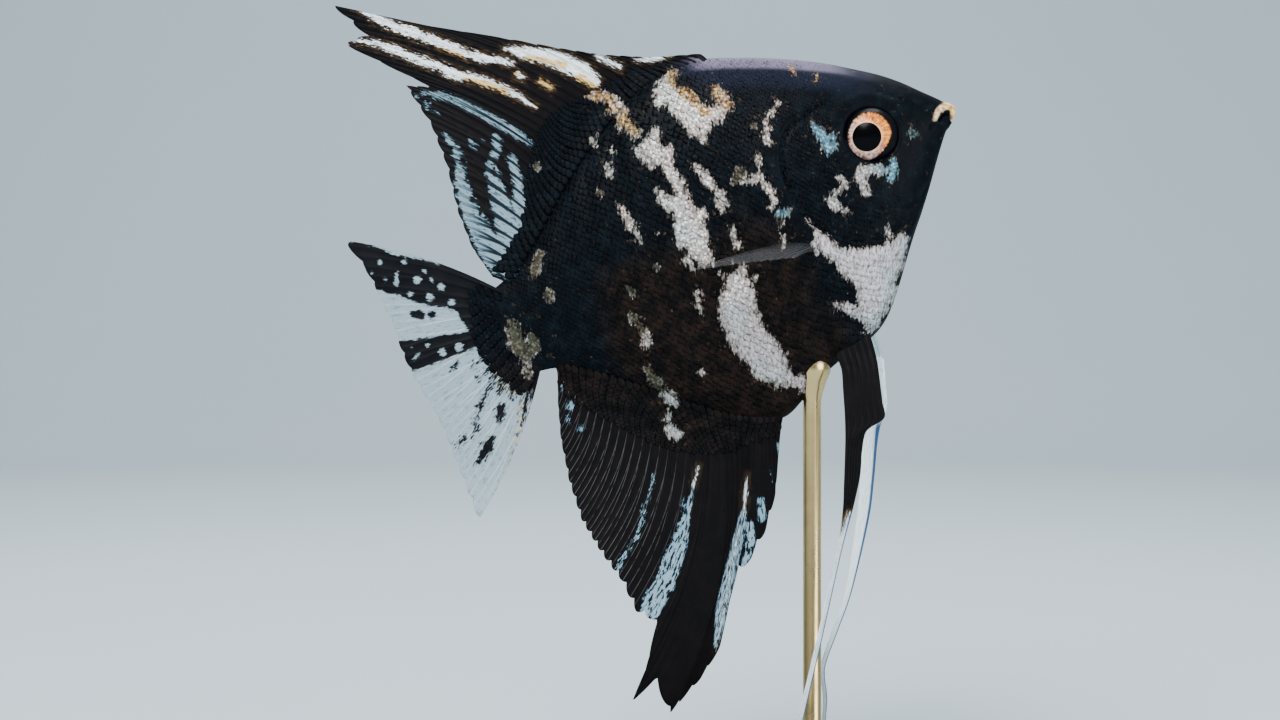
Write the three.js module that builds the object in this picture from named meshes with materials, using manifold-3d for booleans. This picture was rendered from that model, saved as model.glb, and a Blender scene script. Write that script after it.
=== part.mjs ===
// A life-size display model of a freshwater angelfish, swimming nose-up, on a plain rod and base.
// Millimetres, +Z up. The origin is the middle of the base's underside, and the fish heads towards +X.
import * as THREE from "three";
import { mergeVertices } from "three/addons/utils/BufferGeometryUtils.js";
import Module from "manifold-3d";

const wasm = await Module();
wasm.setup();

// ---- Driving dimensions ------------------------------------------------------------------

const SNOUT = { x: 42.6, z: 129.9 }; // tip of the closed mouth above the base
const PITCH = THREE.MathUtils.degToRad(26); // the body's axis rises this much towards the snout
const BODY = { from: 1.3, to: 89, crowding: 1.35 }; // from behind the lips to the tail, rings closer in front
const GAP = 0.3; // left between pieces that touch
const DETAIL = 0.02; // facets flatter than this are merged
const FIN_EDGE = 0.5; // thickness at a fin's margin
const THROUGH = 40; // an outline cut through the fish is this wide
const FAR = 60; // farther than any flesh from the snout's level

const EYE = { u: 15.6, v: 2.3, radius: 4.4, depth: 2.8, centreY: 4.8, turn: 0.16 };
const GILL_PLATE = 1.3; // thickness of a gill cover
const TAIL_CUT = 79; // where the trunk ends and the tail's stalk starts

const BASE = { length: 112, width: 66, height: 9, chamfer: 1.2 };
const ROD = {
  x: 18, radius: 1.6, foot: { radius: 5, height: 1.6 }, cup: { radius: 3.2, from: 80, rim: 84, to: 92 },
};

// Places on the fish are (u, v): u is the distance back from the snout along the body's axis, v the height
// above that axis. A fish's y is its left.

// Back, belly, level of the greatest width, and half width, each through its stations along u.
const BACK = [
  [0, 1.6], [1.3, 3.4], [3.4, 5.9], [5.8, 8.8], [8.5, 11.5], [11.3, 13.8], [17, 18.1], [23, 21.8],
  [29.3, 25.1], [35.7, 27.9], [42, 29.1], [48, 28.3], [55, 25.6], [62, 21.9], [69, 17.5], [76, 12.4],
  [81, 9.3], [85, 7.8], [89, 7.4],
];
const BELLY = [
  [0, -0.9], [1.1, -1.7], [2.6, -3], [4.7, -5.2], [6.5, -7.2], [9.5, -10.6], [12.7, -14], [15.3, -16.6],
  [19, -20.6], [22.1, -24], [25.5, -27.3], [28.8, -29.3], [33, -30.3], [36.7, -30.9], [41.4, -32.3],
  [45.5, -34.2], [50.2, -35.6], [56, -33.2], [62, -28.4], [69, -21.4], [76, -14.8], [81, -10.9],
  [85, -9.5], [89, -9.2],
];
const MIDDLE = [[0, 0.3], [8, 0.8], [18, 0], [30, -3], [50, -2.5], [70, -1.5], [89, -1]];
const HALF_WIDTH = [
  [0, 1.1], [2, 2.2], [5, 3.6], [9, 5.1], [14, 6.3], [20, 7.3], [27, 8], [34, 8.2], [42, 7.8],
  [50, 7], [58, 5.8], [66, 4.6], [74, 3.5], [80, 2.8], [85, 2], [89, 1.3],
];
const BACK_TAPER = 1.25; // over 1 draws the section in towards the back, below 1 fills it out
const BELLY_TAPER = 1.1;

// Each fin is a fan of rays. A key ray is [share of the root's length, tip u, tip v]; the rays between
// two key rays are spaced evenly. bow pushes a ray's middle forwards by that share of its length.
const DORSAL = {
  root: { from: [34.5, 26.6], to: [83.5, 7], edge: BACK, inset: 1.4 },
  keys: [
    [0, 35.4, 28.6], [0.1, 43.7, 31.9], [0.2, 51.4, 36.2], [0.27, 57.2, 40.3], [0.33, 64.4, 45.7],
    [0.38, 76.3, 54.2], [0.42, 90, 65.2], [0.47, 87.1, 58.1], [0.53, 91.3, 58.4], [0.6, 80.8, 44.8],
    [0.66, 84.6, 46.9], [0.73, 83.5, 38.6], [0.8, 84.1, 30.8], [0.87, 85.9, 22.4], [0.94, 86.4, 15.4],
    [1, 85.4, 9.3],
  ],
  bow: 0.05,
  rootThickness: 1.9,
  wave: { side: 2.4, turns: 0.9 },
};
const ANAL = {
  root: { from: [49.5, -34.4], to: [82.5, -10], edge: BELLY, inset: 1.4 },
  keys: [
    [0, 51.6, -37], [0.03, 54.1, -41.4], [0.07, 57.5, -47.3], [0.11, 62, -52.6], [0.15, 69.5, -59.4],
    [0.19, 78.4, -67.8], [0.23, 83.8, -71], [0.27, 88.8, -72.9], [0.31, 91.6, -73.9], [0.34, 90.8, -67.3],
    [0.36, 96.1, -68.6], [0.385, 90, -62.8], [0.41, 86.2, -57.6], [0.45, 88.4, -54.5], [0.51, 88.3, -48.4],
    [0.6, 89.4, -42.2], [0.7, 90, -36], [0.79, 89.1, -29], [0.88, 87.2, -21.6], [0.95, 84.9, -15.8],
    [1, 82.8, -11.4],
  ],
  bow: 0.09,
  rootThickness: 1.9,
  wave: { side: -2.8, turns: 1.1 },
};
const CAUDAL = {
  root: { from: [85, 6.4], to: [85, -9], bulge: 1.6 },
  keys: [
    [0, 106, 26.4], [0.08, 104.8, 20.6], [0.17, 104.7, 15], [0.27, 104.8, 9.6], [0.37, 105.6, 4.4],
    [0.47, 105.8, -0.4], [0.57, 105.2, -6], [0.68, 105.1, -11.2], [0.79, 105.6, -16.6], [0.89, 106, -21.6],
    [1, 106.6, -28.2],
  ],
  bow: 0.045,
  rootThickness: 2,
  wave: { side: 2.2, turns: 0.6 },
};
// A pelvic fin is a ribbon that narrows to a long streamer. Each row is [front u, front v, rear u, rear v].
const PELVIC_RIGHT = [
  [29.9, -28, 36.8, -28.2], [30.5, -32.7, 37.2, -32.6], [31.9, -36.9, 38.4, -36.4],
  [33.7, -41.9, 40.7, -40.8], [37.6, -44.6, 42.5, -44], [41.2, -48.8, 44.2, -47.6],
  [44.4, -53, 46.6, -52], [51.1, -61, 52.1, -60.2], [61.2, -73.7, 62.1, -73],
  [70.3, -85, 71.1, -84.4], [75.5, -91.4, 76.1, -91],
];
const PELVIC_LEFT = [
  [29.6, -28, 36.7, -28.2], [30.5, -33.4, 37.2, -32.8], [32.6, -39.5, 38.2, -38.4],
  [33.5, -42.4, 39, -42], [37, -45.4, 40.6, -44.8], [40.7, -52, 43.7, -51],
  [48, -62.3, 49.9, -61.1], [57.8, -73.3, 58.8, -72.4], [62.8, -78, 63.7, -77.4],
  [65.3, -83.6, 66.3, -83.2], [69.6, -92.3, 70.4, -92],
];
const PELVIC_SPLAY = { root: 2.2, knee: 6.2, tip: 5.2, kneeAt: 0.45 }; // distance from the middle plane
const PELVIC_THICKNESS = 0.9;

// A pectoral fin spreads by an angle to each side of its middle ray, which points out and up by two more.
const PECTORAL = {
  u: 31.2, v: -10.4, y: 6, length: 24, spread: 0.62, out: 0.5, rise: 0.24, tilt: 0.1, root: 3, droop: 1.6,
  outline: { skew: 0.8, fullness: 0.55 }, rays: 10, thickness: 0.6,
};

// Seen from the side: the head's rear and lower edge, and a gill cover's outline.
const HEAD_EDGE = [
  [27.4, 34], [29, 17], [32.2, 9.6], [33.9, 3], [34.1, -1.6], [33, -7.4], [29.8, -12.8], [26.2, -15.5],
  [21, -16.9], [15, -16.6], [8, -13],
];
const GILL_COVER = [
  [23, 9.8], [26.4, 10.4], [29.4, 8.6], [31.7, 5.9], [33, -1.1], [31.8, -7.2], [28.6, -12.2], [26, -14.1],
  [22.7, -15.2], [18.6, -15], [18.6, -11.4], [21, -5.4], [21.6, 2.4],
];
// Each lip runs from the mouth's corner (u, y, v), round its bend, to its own front (u, v).
const LIPS = { corner: [4, 2.3, 0.1], bend: 0.86, upper: [0.35, 1.25], lower: [0.7, -1], radius: 1.05 };

// ---- Solids and meshes ------------------------------------------------------------------

/** A closed geometry as a manifold-3d solid. Faces that a mirrored mapping turned in are turned out. */
function toSolid(geometry) {
  const bare = new THREE.BufferGeometry();
  const source = geometry.index ? geometry.toNonIndexed() : geometry;
  bare.setAttribute("position", source.getAttribute("position").clone());
  const merged = mergeVertices(bare, 1e-4);
  const triVerts = new Uint32Array(merged.index.array);
  const make = () =>
    new wasm.Manifold(
      new wasm.Mesh({ numProp: 3, vertProperties: merged.attributes.position.array, triVerts }),
    );
  const solid = make();
  if (solid.volume() > 0) return solid;
  for (let i = 0; i < triVerts.length; i += 3) {
    [triVerts[i + 1], triVerts[i + 2]] = [triVerts[i + 2], triVerts[i + 1]];
  }
  return make();
}

function toGeometry(solid) {
  const mesh = solid.getMesh();
  const places = new Float32Array(mesh.numVert * 3);
  for (let i = 0; i < mesh.numVert; i++) {
    places.set(mesh.vertProperties.subarray(i * mesh.numProp, i * mesh.numProp + 3), i * 3);
  }
  const geometry = new THREE.BufferGeometry();
  geometry.setAttribute("position", new THREE.BufferAttribute(places, 3));
  geometry.setIndex(new THREE.BufferAttribute(new Uint32Array(mesh.triVerts), 1));
  geometry.computeVertexNormals();
  return geometry;
}

const materials = {
  skin: new THREE.MeshStandardMaterial({ color: 0x17161b, roughness: 0.42 }),
  lip: new THREE.MeshStandardMaterial({ color: 0xd8c39a, roughness: 0.5 }),
  eye: new THREE.MeshStandardMaterial({ color: 0xd9905a, roughness: 0.12 }),
  fin: new THREE.MeshStandardMaterial({ color: 0x26262b, roughness: 0.5 }),
  streamer: new THREE.MeshStandardMaterial({ color: 0xd9e4ea, roughness: 0.45 }),
  rod: new THREE.MeshStandardMaterial({ color: 0xb9a06a, roughness: 0.3, metalness: 1 }),
  base: new THREE.MeshStandardMaterial({ color: 0x4a3020, roughness: 0.45 }),
};

function add(parent, name, solid, material) {
  const mesh = new THREE.Mesh(toGeometry(solid.simplify(DETAIL)), materials[material]);
  mesh.name = name;
  parent.add(mesh);
  return mesh;
}

/** The smooth curve through stations [u, value], as a function of u. */
function through(stations) {
  const slope = stations.map((_, i) => {
    const [a, b] = [stations[Math.max(i - 1, 0)], stations[Math.min(i + 1, stations.length - 1)]];
    return (b[1] - a[1]) / (b[0] - a[0]);
  });
  return (u) => {
    let i = stations.findIndex(([at]) => at > u) - 1;
    if (i < 0) i = u < stations[0][0] ? 0 : stations.length - 2;
    const [[u0, v0], [u1, v1]] = [stations[i], stations[i + 1]];
    const span = u1 - u0;
    const t = THREE.MathUtils.clamp((u - u0) / span, 0, 1);
    const [t2, t3] = [t * t, t * t * t];
    return (
      (2 * t3 - 3 * t2 + 1) * v0 + (t3 - 2 * t2 + t) * span * slope[i] +
      (3 * t2 - 2 * t3) * v1 + (t3 - t2) * span * slope[i + 1]
    );
  };
}

const back = through(BACK);
const belly = through(BELLY);
const middle = through(MIDDLE);
const halfWidth = through(HALF_WIDTH);

/** The whole body from snout to tail as one loft. grow swells it all round; thin draws in its sides alone. */
function bodySolid({ grow = 0, thin = 0 } = {}) {
  const [around, rings] = [24, 32];
  const geometry = new THREE.CylinderGeometry(1, 1, 1, around, rings);
  const place = geometry.attributes.position;
  for (let i = 0; i < place.count; i++) {
    const [x, y, z] = [place.getX(i), place.getY(i), place.getZ(i)];
    const share = 0.5 - y;
    const u = THREE.MathUtils.lerp(BODY.from, BODY.to, share ** BODY.crowding);
    const crown = Math.hypot(x, z) < 0.5 ? 0.5 : 0; // the middle of an end cap stands out a little
    const end = (share === 0 ? -1 : share === 1 ? 1 : 0) * (grow + crown);
    const [level, up] = [middle(u), z >= 0];
    const height = (up ? back(u) - level : level - belly(u)) + grow;
    const taper = up ? BACK_TAPER : BELLY_TAPER;
    const width = Math.max(halfWidth(u) - thin, 0.4) + grow;
    place.setXYZ(i, -(u + end), -Math.sign(x) * width * Math.abs(x) ** taper, level + height * z);
  }
  return toSolid(geometry);
}

/** An outline drawn in (u, v), cut right through the fish from side to side. */
function cutThrough(points) {
  const outline = new THREE.Shape(points);
  const geometry = new THREE.ExtrudeGeometry(outline, { depth: THROUGH, bevelEnabled: false });
  geometry.translate(0, 0, -THROUGH / 2).rotateX(Math.PI / 2);
  return toSolid(geometry);
}

const flat = ([u, v]) => new THREE.Vector2(-u, v);

/** All that lies between two stations, as a large block. */
function block(fromU, toU) {
  return toSolid(new THREE.BoxGeometry(toU - fromU, THROUGH, 2 * FAR).translate(-(fromU + toU) / 2, 0, 0));
}

// ---- Fins ------------------------------------------------------------------

/**
 * A thin closed plate, mapped from a box: surface(s, t) gives the middle [u, y, v] and the thickness,
 * which is measured along facing.
 */
function plate(columns, rows, surface, facing = [0, 1, 0]) {
  const geometry = new THREE.BoxGeometry(1, 1, 1, columns, 1, rows);
  const place = geometry.attributes.position;
  for (let i = 0; i < place.count; i++) {
    const { at, thickness } = surface(place.getX(i) + 0.5, place.getZ(i) + 0.5);
    const [u, y, v] = at.map((middle, k) => middle + place.getY(i) * thickness * facing[k]);
    place.setXYZ(i, -u, y, v);
  }
  return toSolid(geometry);
}

/** A fan fin in the middle plane, waving a little from side to side towards its margin. */
function fan({ root, keys, bow, rootThickness, wave }, { perKey, rows }) {
  const edge = root.edge && through(root.edge);
  const rootAt = (share) => {
    const u = THREE.MathUtils.lerp(root.from[0], root.to[0], share);
    const v = THREE.MathUtils.lerp(root.from[1], root.to[1], share);
    if (!edge) return [u + root.bulge * Math.sin(Math.PI * share), v];
    return [u, edge(u) - Math.sign(v) * root.inset];
  };
  const intervals = keys.length - 1;
  return plate(intervals * perKey, rows, (s, t) => {
    const i = Math.min(Math.floor(s * intervals + 1e-6), intervals - 1);
    const f = s * intervals - i;
    const [share, tipU, tipV] = [0, 1, 2].map((k) => THREE.MathUtils.lerp(keys[i][k], keys[i + 1][k], f));
    const [u0, v0] = rootAt(share);
    const [du, dv] = [tipU - u0, tipV - v0];
    const push = 4 * t * (1 - t) * bow; // the bow is square to the ray, on the side towards the nearer end
    const turn = root.edge ? Math.sign(v0) : Math.sign(0.5 - share) * Math.abs(1 - 2 * share);
    const reach = Math.hypot(du, dv) / 30;
    const y = wave.side * t * t * reach * Math.sin(2 * Math.PI * wave.turns * (share - 0.35));
    return {
      at: [u0 + du * t - turn * dv * push, y, v0 + dv * t + turn * du * push],
      thickness: THREE.MathUtils.lerp(rootThickness, FIN_EDGE, Math.sqrt(t)),
    };
  });
}

/** A pelvic fin: rows across the ribbon, splayed out from the middle plane. side is 1 on the fish's left. */
function pelvic(rows, side) {
  const lines = [0, 1, 2, 3].map((k) => through(rows.map((row, i) => [i, row[k]])));
  const { root, knee, tip, kneeAt } = PELVIC_SPLAY;
  return plate(2, 2 * (rows.length - 1), (s, t) => {
    const [fu, fv, ru, rv] = lines.map((line) => line(t * (rows.length - 1)));
    const outwards = t < kneeAt
      ? THREE.MathUtils.lerp(root, knee, Math.sin((Math.PI / 2) * (t / kneeAt)))
      : THREE.MathUtils.lerp(knee, tip, (t - kneeAt) / (1 - kneeAt));
    const u = THREE.MathUtils.lerp(fu, ru, s);
    const v = THREE.MathUtils.lerp(fv, rv, s);
    return { at: [u, side * outwards, v], thickness: THREE.MathUtils.lerp(PELVIC_THICKNESS, FIN_EDGE, t) };
  });
}

/** A pectoral fin: a fan held out nearly level from behind the gill cover. */
function pectoral(side) {
  const { u, v, y, length, spread, out, rise, tilt, root, droop, outline, rays, thickness } = PECTORAL;
  const along = new THREE.Vector3(Math.cos(out), side * Math.sin(out), rise).normalize();
  const across = new THREE.Vector3(-Math.sin(out), side * Math.cos(out), -tilt).normalize();
  const surface = (s, t) => {
    const angle = THREE.MathUtils.lerp(-spread, spread, s);
    const far = t * length * (0.5 + 0.5 * Math.sin(Math.PI * s ** outline.skew)) ** outline.fullness;
    const at = new THREE.Vector3(u, side * y, v - (s - 0.5) * root - droop * t * t);
    at.addScaledVector(along, far * Math.cos(angle)).addScaledVector(across, far * Math.sin(angle));
    return { at: at.toArray(), thickness };
  };
  return plate(rays, 4, surface, along.clone().cross(across).toArray());
}

// ---- Head ------------------------------------------------------------------

/** A flattened ball on one side of the head. */
function eyeBall(side, grow = 0) {
  const [r, d] = [EYE.radius + grow, EYE.depth + grow];
  const ball = new THREE.SphereGeometry(1, 20, 12);
  ball.rotateX(Math.PI / 2).scale(r, d, r).rotateZ(side * EYE.turn);
  return toSolid(ball.translate(-EYE.u, side * EYE.centreY, EYE.v));
}

/** A lip: a round bar bent round the front of the mouth from corner to corner. */
function lip([u, v]) {
  const { corner, bend, radius } = LIPS;
  const side = (turn) => [
    new THREE.Vector3(-corner[0], turn * corner[1], corner[2]),
    new THREE.Vector3(0.4 - (corner[0] + u) / 2, turn * bend * corner[1], (corner[2] + v) / 2),
  ];
  const path = new THREE.CatmullRomCurve3([...side(-1), new THREE.Vector3(-u, 0, v), ...side(1).reverse()]);
  const section = new THREE.Shape().absarc(0, 0, radius, 0, 2 * Math.PI);
  const options = { steps: 10, curveSegments: 4, bevelEnabled: false, extrudePath: path };
  return toSolid(new THREE.ExtrudeGeometry(section, options));
}

// ---- The fish ------------------------------------------------------------------

const fish = new THREE.Group();
fish.position.set(SNOUT.x, 0, SNOUT.z);
fish.rotation.y = -PITCH;

const body = bodySolid();
const cleared = bodySolid({ grow: GAP }); // what a neighbouring piece is cut back to

const headEdge = new THREE.SplineCurve(HEAD_EDGE.map(flat)).getPoints(24);
const inFront = [[-FAR, -FAR], [-FAR, FAR], [HEAD_EDGE[0][0], FAR]].map(flat);
const headZone = cutThrough([...inFront, ...headEdge, flat([HEAD_EDGE.at(-1)[0], -FAR])]);
const eyeSockets = eyeBall(1, GAP).add(eyeBall(-1, GAP));

const coverEdge = new THREE.SplineCurve([...GILL_COVER, GILL_COVER[0]].map(flat)).getPoints(36).slice(0, -1);
const coverBox = new THREE.Box2().setFromPoints(coverEdge);
const centre = coverBox.getCenter(new THREE.Vector2());
const shortSide = coverBox.getSize(new THREE.Vector2()).x;
const widen = (p) => p.clone().sub(centre).multiplyScalar(1 + (2 * GAP) / shortSide).add(centre);
const coverZone = cutThrough(coverEdge);
const coverRoom = cutThrough(coverEdge.map(widen));
const core = bodySolid({ thin: GILL_PLATE });
const deeperCore = bodySolid({ thin: GILL_PLATE + GAP });

const head = body.intersect(headZone).subtract(eyeSockets).subtract(coverRoom.subtract(deeperCore));
add(fish, "head", head, "skin");
for (const cover of body.intersect(coverZone).subtract(core).decompose()) {
  const left = cover.boundingBox().min[1] > 0;
  add(fish, left ? "gill_cover_left" : "gill_cover_right", cover, "skin");
}
add(fish, "eye_left", eyeBall(1), "eye");
add(fish, "eye_right", eyeBall(-1), "eye");

const upperLip = lip(LIPS.upper).subtract(cleared);
const lowerLip = lip(LIPS.lower).subtract(cleared).subtract(lip([LIPS.upper[0], LIPS.upper[1] - GAP]));
add(fish, "upper_lip", upperLip, "lip");
add(fish, "lower_lip", lowerLip, "lip");

const headRoom = headZone.translate([-GAP, 0, -GAP]);
const behindHead = body.subtract(headRoom);
add(fish, "trunk", behindHead.intersect(block(0, TAIL_CUT - GAP)), "skin");
add(fish, "tail_base", behindHead.intersect(block(TAIL_CUT, 2 * TAIL_CUT)), "skin");

add(fish, "dorsal_fin", fan(DORSAL, { perKey: 2, rows: 5 }).subtract(cleared), "fin");
add(fish, "anal_fin", fan(ANAL, { perKey: 1, rows: 6 }).subtract(cleared), "fin");
add(fish, "caudal_fin", fan(CAUDAL, { perKey: 2, rows: 4 }).subtract(cleared), "fin");
add(fish, "pelvic_fin_right", pelvic(PELVIC_RIGHT, -1).subtract(cleared), "fin");
add(fish, "pelvic_fin_left", pelvic(PELVIC_LEFT, 1).subtract(cleared), "streamer");
add(fish, "pectoral_fin_right", pectoral(-1).subtract(cleared), "streamer");
add(fish, "pectoral_fin_left", pectoral(1).subtract(cleared), "streamer");

// ---- The stand ------------------------------------------------------------------

const stand = new THREE.Group();

/** A round piece about its own axis, from points [radius, height]. */
function turned(points, segments) {
  return new THREE.LatheGeometry(points.map((p) => new THREE.Vector2(...p)), segments).rotateX(Math.PI / 2);
}

const { length, width, height, chamfer } = BASE;
const baseProfile = [
  [0, 0], [0.99, 0], [1, 0.1], [1, height - chamfer], [1 - (2 * chamfer) / length, height], [0, height],
];
const base = turned(baseProfile, 56).scale(length / 2, width / 2, 1);
add(stand, "stand_base", toSolid(base), "base");

const { foot, cup } = ROD;
const [bottom, shoulder] = [height + GAP, height + GAP + foot.height];
const rodProfile = [
  [0, bottom], [foot.radius, bottom], [foot.radius, (bottom + shoulder) / 2], [foot.radius - 1, shoulder],
  [ROD.radius, shoulder], [ROD.radius, cup.from], [cup.radius, cup.rim], [cup.radius, cup.to], [0, cup.to],
];
fish.updateMatrix();
const belowBelly = cleared.transform(fish.matrix.elements);
const rod = toSolid(turned(rodProfile, 20).translate(ROD.x, 0, 0)).subtract(belowBelly);
const [rodPiece] = rod.decompose().sort((a, b) => b.volume() - a.volume());
add(stand, "stand_rod", rodPiece, "rod");

const angelfish = new THREE.Group();
angelfish.add(fish, stand);

export default angelfish;
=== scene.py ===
"""A life-size display model of a marbled freshwater angelfish, swimming nose-up on a rod and base.

Places on the fish are (u, v) in millimetres: u is the distance back from the snout along the body's axis
and v the height above it. The third coordinate y is the fish's left. One frame turns them to metres.
"""

import math

import bmesh
import bpy
import numpy as np
from mathutils import Matrix, Vector


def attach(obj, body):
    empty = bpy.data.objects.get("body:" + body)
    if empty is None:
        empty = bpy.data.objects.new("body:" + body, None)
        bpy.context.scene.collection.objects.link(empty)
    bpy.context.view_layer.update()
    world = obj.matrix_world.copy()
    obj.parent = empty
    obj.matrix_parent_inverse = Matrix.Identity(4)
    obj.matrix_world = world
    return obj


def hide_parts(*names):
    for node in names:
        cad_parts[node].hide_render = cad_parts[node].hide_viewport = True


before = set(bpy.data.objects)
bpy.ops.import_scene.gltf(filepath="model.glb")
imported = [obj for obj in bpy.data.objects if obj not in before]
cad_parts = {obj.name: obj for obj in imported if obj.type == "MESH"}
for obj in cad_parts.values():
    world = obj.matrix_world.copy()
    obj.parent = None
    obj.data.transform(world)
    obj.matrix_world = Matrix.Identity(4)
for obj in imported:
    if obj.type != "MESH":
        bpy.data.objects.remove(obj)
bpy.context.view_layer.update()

# ---- Driving dimensions, millimetres ---------------------------------------------------------

MM = 0.001
SNOUT = (42.6, 129.9)  # tip of the closed mouth: x and z above the base
PITCH = math.radians(26)  # the body's axis rises this much towards the snout

SKIN = {"nose": -0.25, "tail": 89.4, "crowding": 1.35, "rounding": 1.4, "tail_edge": 0.9, "wedge": 4.4}
COAT_DEPTH = 0.22  # the skin lies this far inside the scales' outer face
RINGS = 300
SPOKES = 256
SECTION_STEPS = 961  # points measured along a section before its spokes are spaced evenly

EYE = {"u": 15.6, "v": 2.3, "radius": 4.75, "depth": 2.8, "centre_y": 4.8, "turn": 0.16}

BACK = [
    (0, 1.6), (1.3, 3.4), (3.4, 5.9), (5.8, 8.8), (8.5, 11.5), (11.3, 13.8), (17, 18.1), (23, 21.8),
    (29.3, 25.1), (35.7, 27.9), (42, 29.1), (48, 28.3), (55, 25.6), (62, 21.9), (69, 17.5), (76, 12.4),
    (81, 9.3), (85, 7.8), (89, 7.4),
]
BELLY = [
    (0, -0.9), (1.1, -1.7), (2.6, -3), (4.7, -5.2), (6.5, -7.2), (9.5, -10.6), (12.7, -14), (15.3, -16.6),
    (19, -20.6), (22.1, -24), (25.5, -27.3), (28.8, -29.3), (33, -30.3), (36.7, -30.9), (41.4, -32.3),
    (45.5, -34.2), (50.2, -35.6), (56, -33.2), (62, -28.4), (69, -21.4), (76, -14.8), (81, -10.9),
    (85, -9.5), (89, -9.2),
]
MIDDLE = [(0, 0.3), (8, 0.8), (18, 0), (30, -3), (50, -2.5), (70, -1.5), (89, -1)]
HALF_WIDTH = [
    (0, 1.1), (2, 2.2), (5, 3.6), (9, 5.1), (14, 6.3), (20, 7.3), (27, 8), (34, 8.2), (42, 7.8),
    (50, 7), (58, 5.8), (66, 4.6), (74, 3.5), (80, 2.8), (85, 2), (89, 1.3),
]
BACK_TAPER = 1.25
BELLY_TAPER = 1.1

# Rear and lower margin of a gill cover, and the ridge that divides the cheek from it.
GILL_MARGIN = [
    (24.2, 10.6), (27.6, 10), (30.4, 7.8), (32.3, 4), (33, -1.1), (32, -7.2), (28.6, -12.2), (24.6, -14.8),
    (20.4, -15.4), (16, -14.6),
]
CHEEK_RIDGE = [(21.8, 6.2), (23.4, 0.5), (22.6, -5.6), (19.4, -10.4), (14.4, -12.6), (9.4, -10.2)]
NOSTRIL = (7.7, 5.7)
PORES = [
    (10.8, 8.4), (6.4, 3.2), (9.6, -1.2), (13.6, -4.6), (18.3, -4.9), (21.6, -2.4), (12.2, -9.9),
    (17.2, -10.3),
]
UPPER_LIP = [(4, 0), (2.6, 0.75), (1.3, 1.2), (0.3, 1), (-0.2, 0.2), (0, -0.7), (0.4, -1.2)]
LOWER_LIP = [(0.9, -1.6), (1.8, -1.95), (2.8, -1.4), (3.7, -0.7)]
MOUTH_CLEFT = [(0.9, -1.2), (1.1, -0.2), (2, 0.05), (3.3, -0.45)]

# Each fin is a fan of rays. A key ray is (share of the root's length, tip u, tip v).
DORSAL = {
    "root": {"from": (34.5, 26.6), "to": (83.5, 7), "edge": BACK, "inset": 1.4},
    "keys": [
        (0, 35.4, 28.6), (0.1, 43.7, 31.9), (0.2, 51.4, 36.2), (0.27, 57.2, 40.3), (0.33, 64.4, 45.7),
        (0.38, 76.3, 54.2), (0.42, 90, 65.2), (0.47, 87.1, 58.1), (0.53, 91.3, 58.4), (0.6, 80.8, 44.8),
        (0.66, 84.6, 46.9), (0.73, 83.5, 38.6), (0.8, 84.1, 30.8), (0.87, 85.9, 22.4), (0.94, 86.4, 15.4),
        (1, 85.4, 9.3),
    ],
    "bow": 0.05, "wave": (2.4, 0.9), "rays": 36, "spines": 12, "columns": 8, "rows": 110,
    "lined": (-0.2, -0.1), "bowed": (-0.2, -0.1),
}
ANAL = {
    "root": {"from": (49.5, -34.4), "to": (82.5, -10), "edge": BELLY, "inset": 1.4},
    "keys": [
        (0, 51.6, -37), (0.03, 54.1, -41.4), (0.07, 57.5, -47.3), (0.11, 62, -52.4), (0.135, 66.2, -55.6),
        (0.155, 69.6, -57), (0.175, 74, -61.9), (0.19, 78.4, -67.8), (0.23, 83.8, -71),
        (0.27, 88.8, -72.9), (0.31, 91.6, -73.9), (0.34, 90.8, -67.3), (0.36, 96.1, -68.6),
        (0.385, 90, -62.8), (0.41, 86.2, -57.6), (0.45, 88.4, -54.5), (0.51, 88.3, -48.4),
        (0.6, 89.4, -42.2), (0.7, 90, -36), (0.79, 89.1, -29), (0.88, 87.2, -21.6), (0.95, 84.9, -15.8),
        (1, 82.8, -11.4),
    ],
    "bow": 0.09, "wave": (-2.8, 1.1), "rays": 32, "spines": 6, "columns": 9, "rows": 110,
    "lined": (0.36, 0.55), "bowed": (0.1, 0.34),
}
CAUDAL = {
    "root": {"from": (85, 6.4), "to": (85, -9), "bulge": 1.6},
    "keys": [
        (0, 106, 26.4), (0.08, 104.8, 20.6), (0.17, 104.7, 15), (0.27, 104.8, 9.6), (0.37, 105.6, 4.4),
        (0.47, 105.8, -0.4), (0.57, 105.2, -6), (0.68, 105.1, -11.2), (0.79, 105.6, -16.6),
        (0.89, 106, -21.6), (1, 106.6, -28.2),
    ],
    "bow": 0.045, "wave": (2.2, 0.6), "rays": 16, "spines": 0, "columns": 18, "rows": 80,
    "lined": (0.42, 0.56), "bowed": (-0.2, -0.1),
}
FIN = {"flesh": 1.35, "flesh_reach": 2.4, "membrane": (0.3, 0.13), "ray": (0.3, 0.1), "notch": 0.022}

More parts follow.
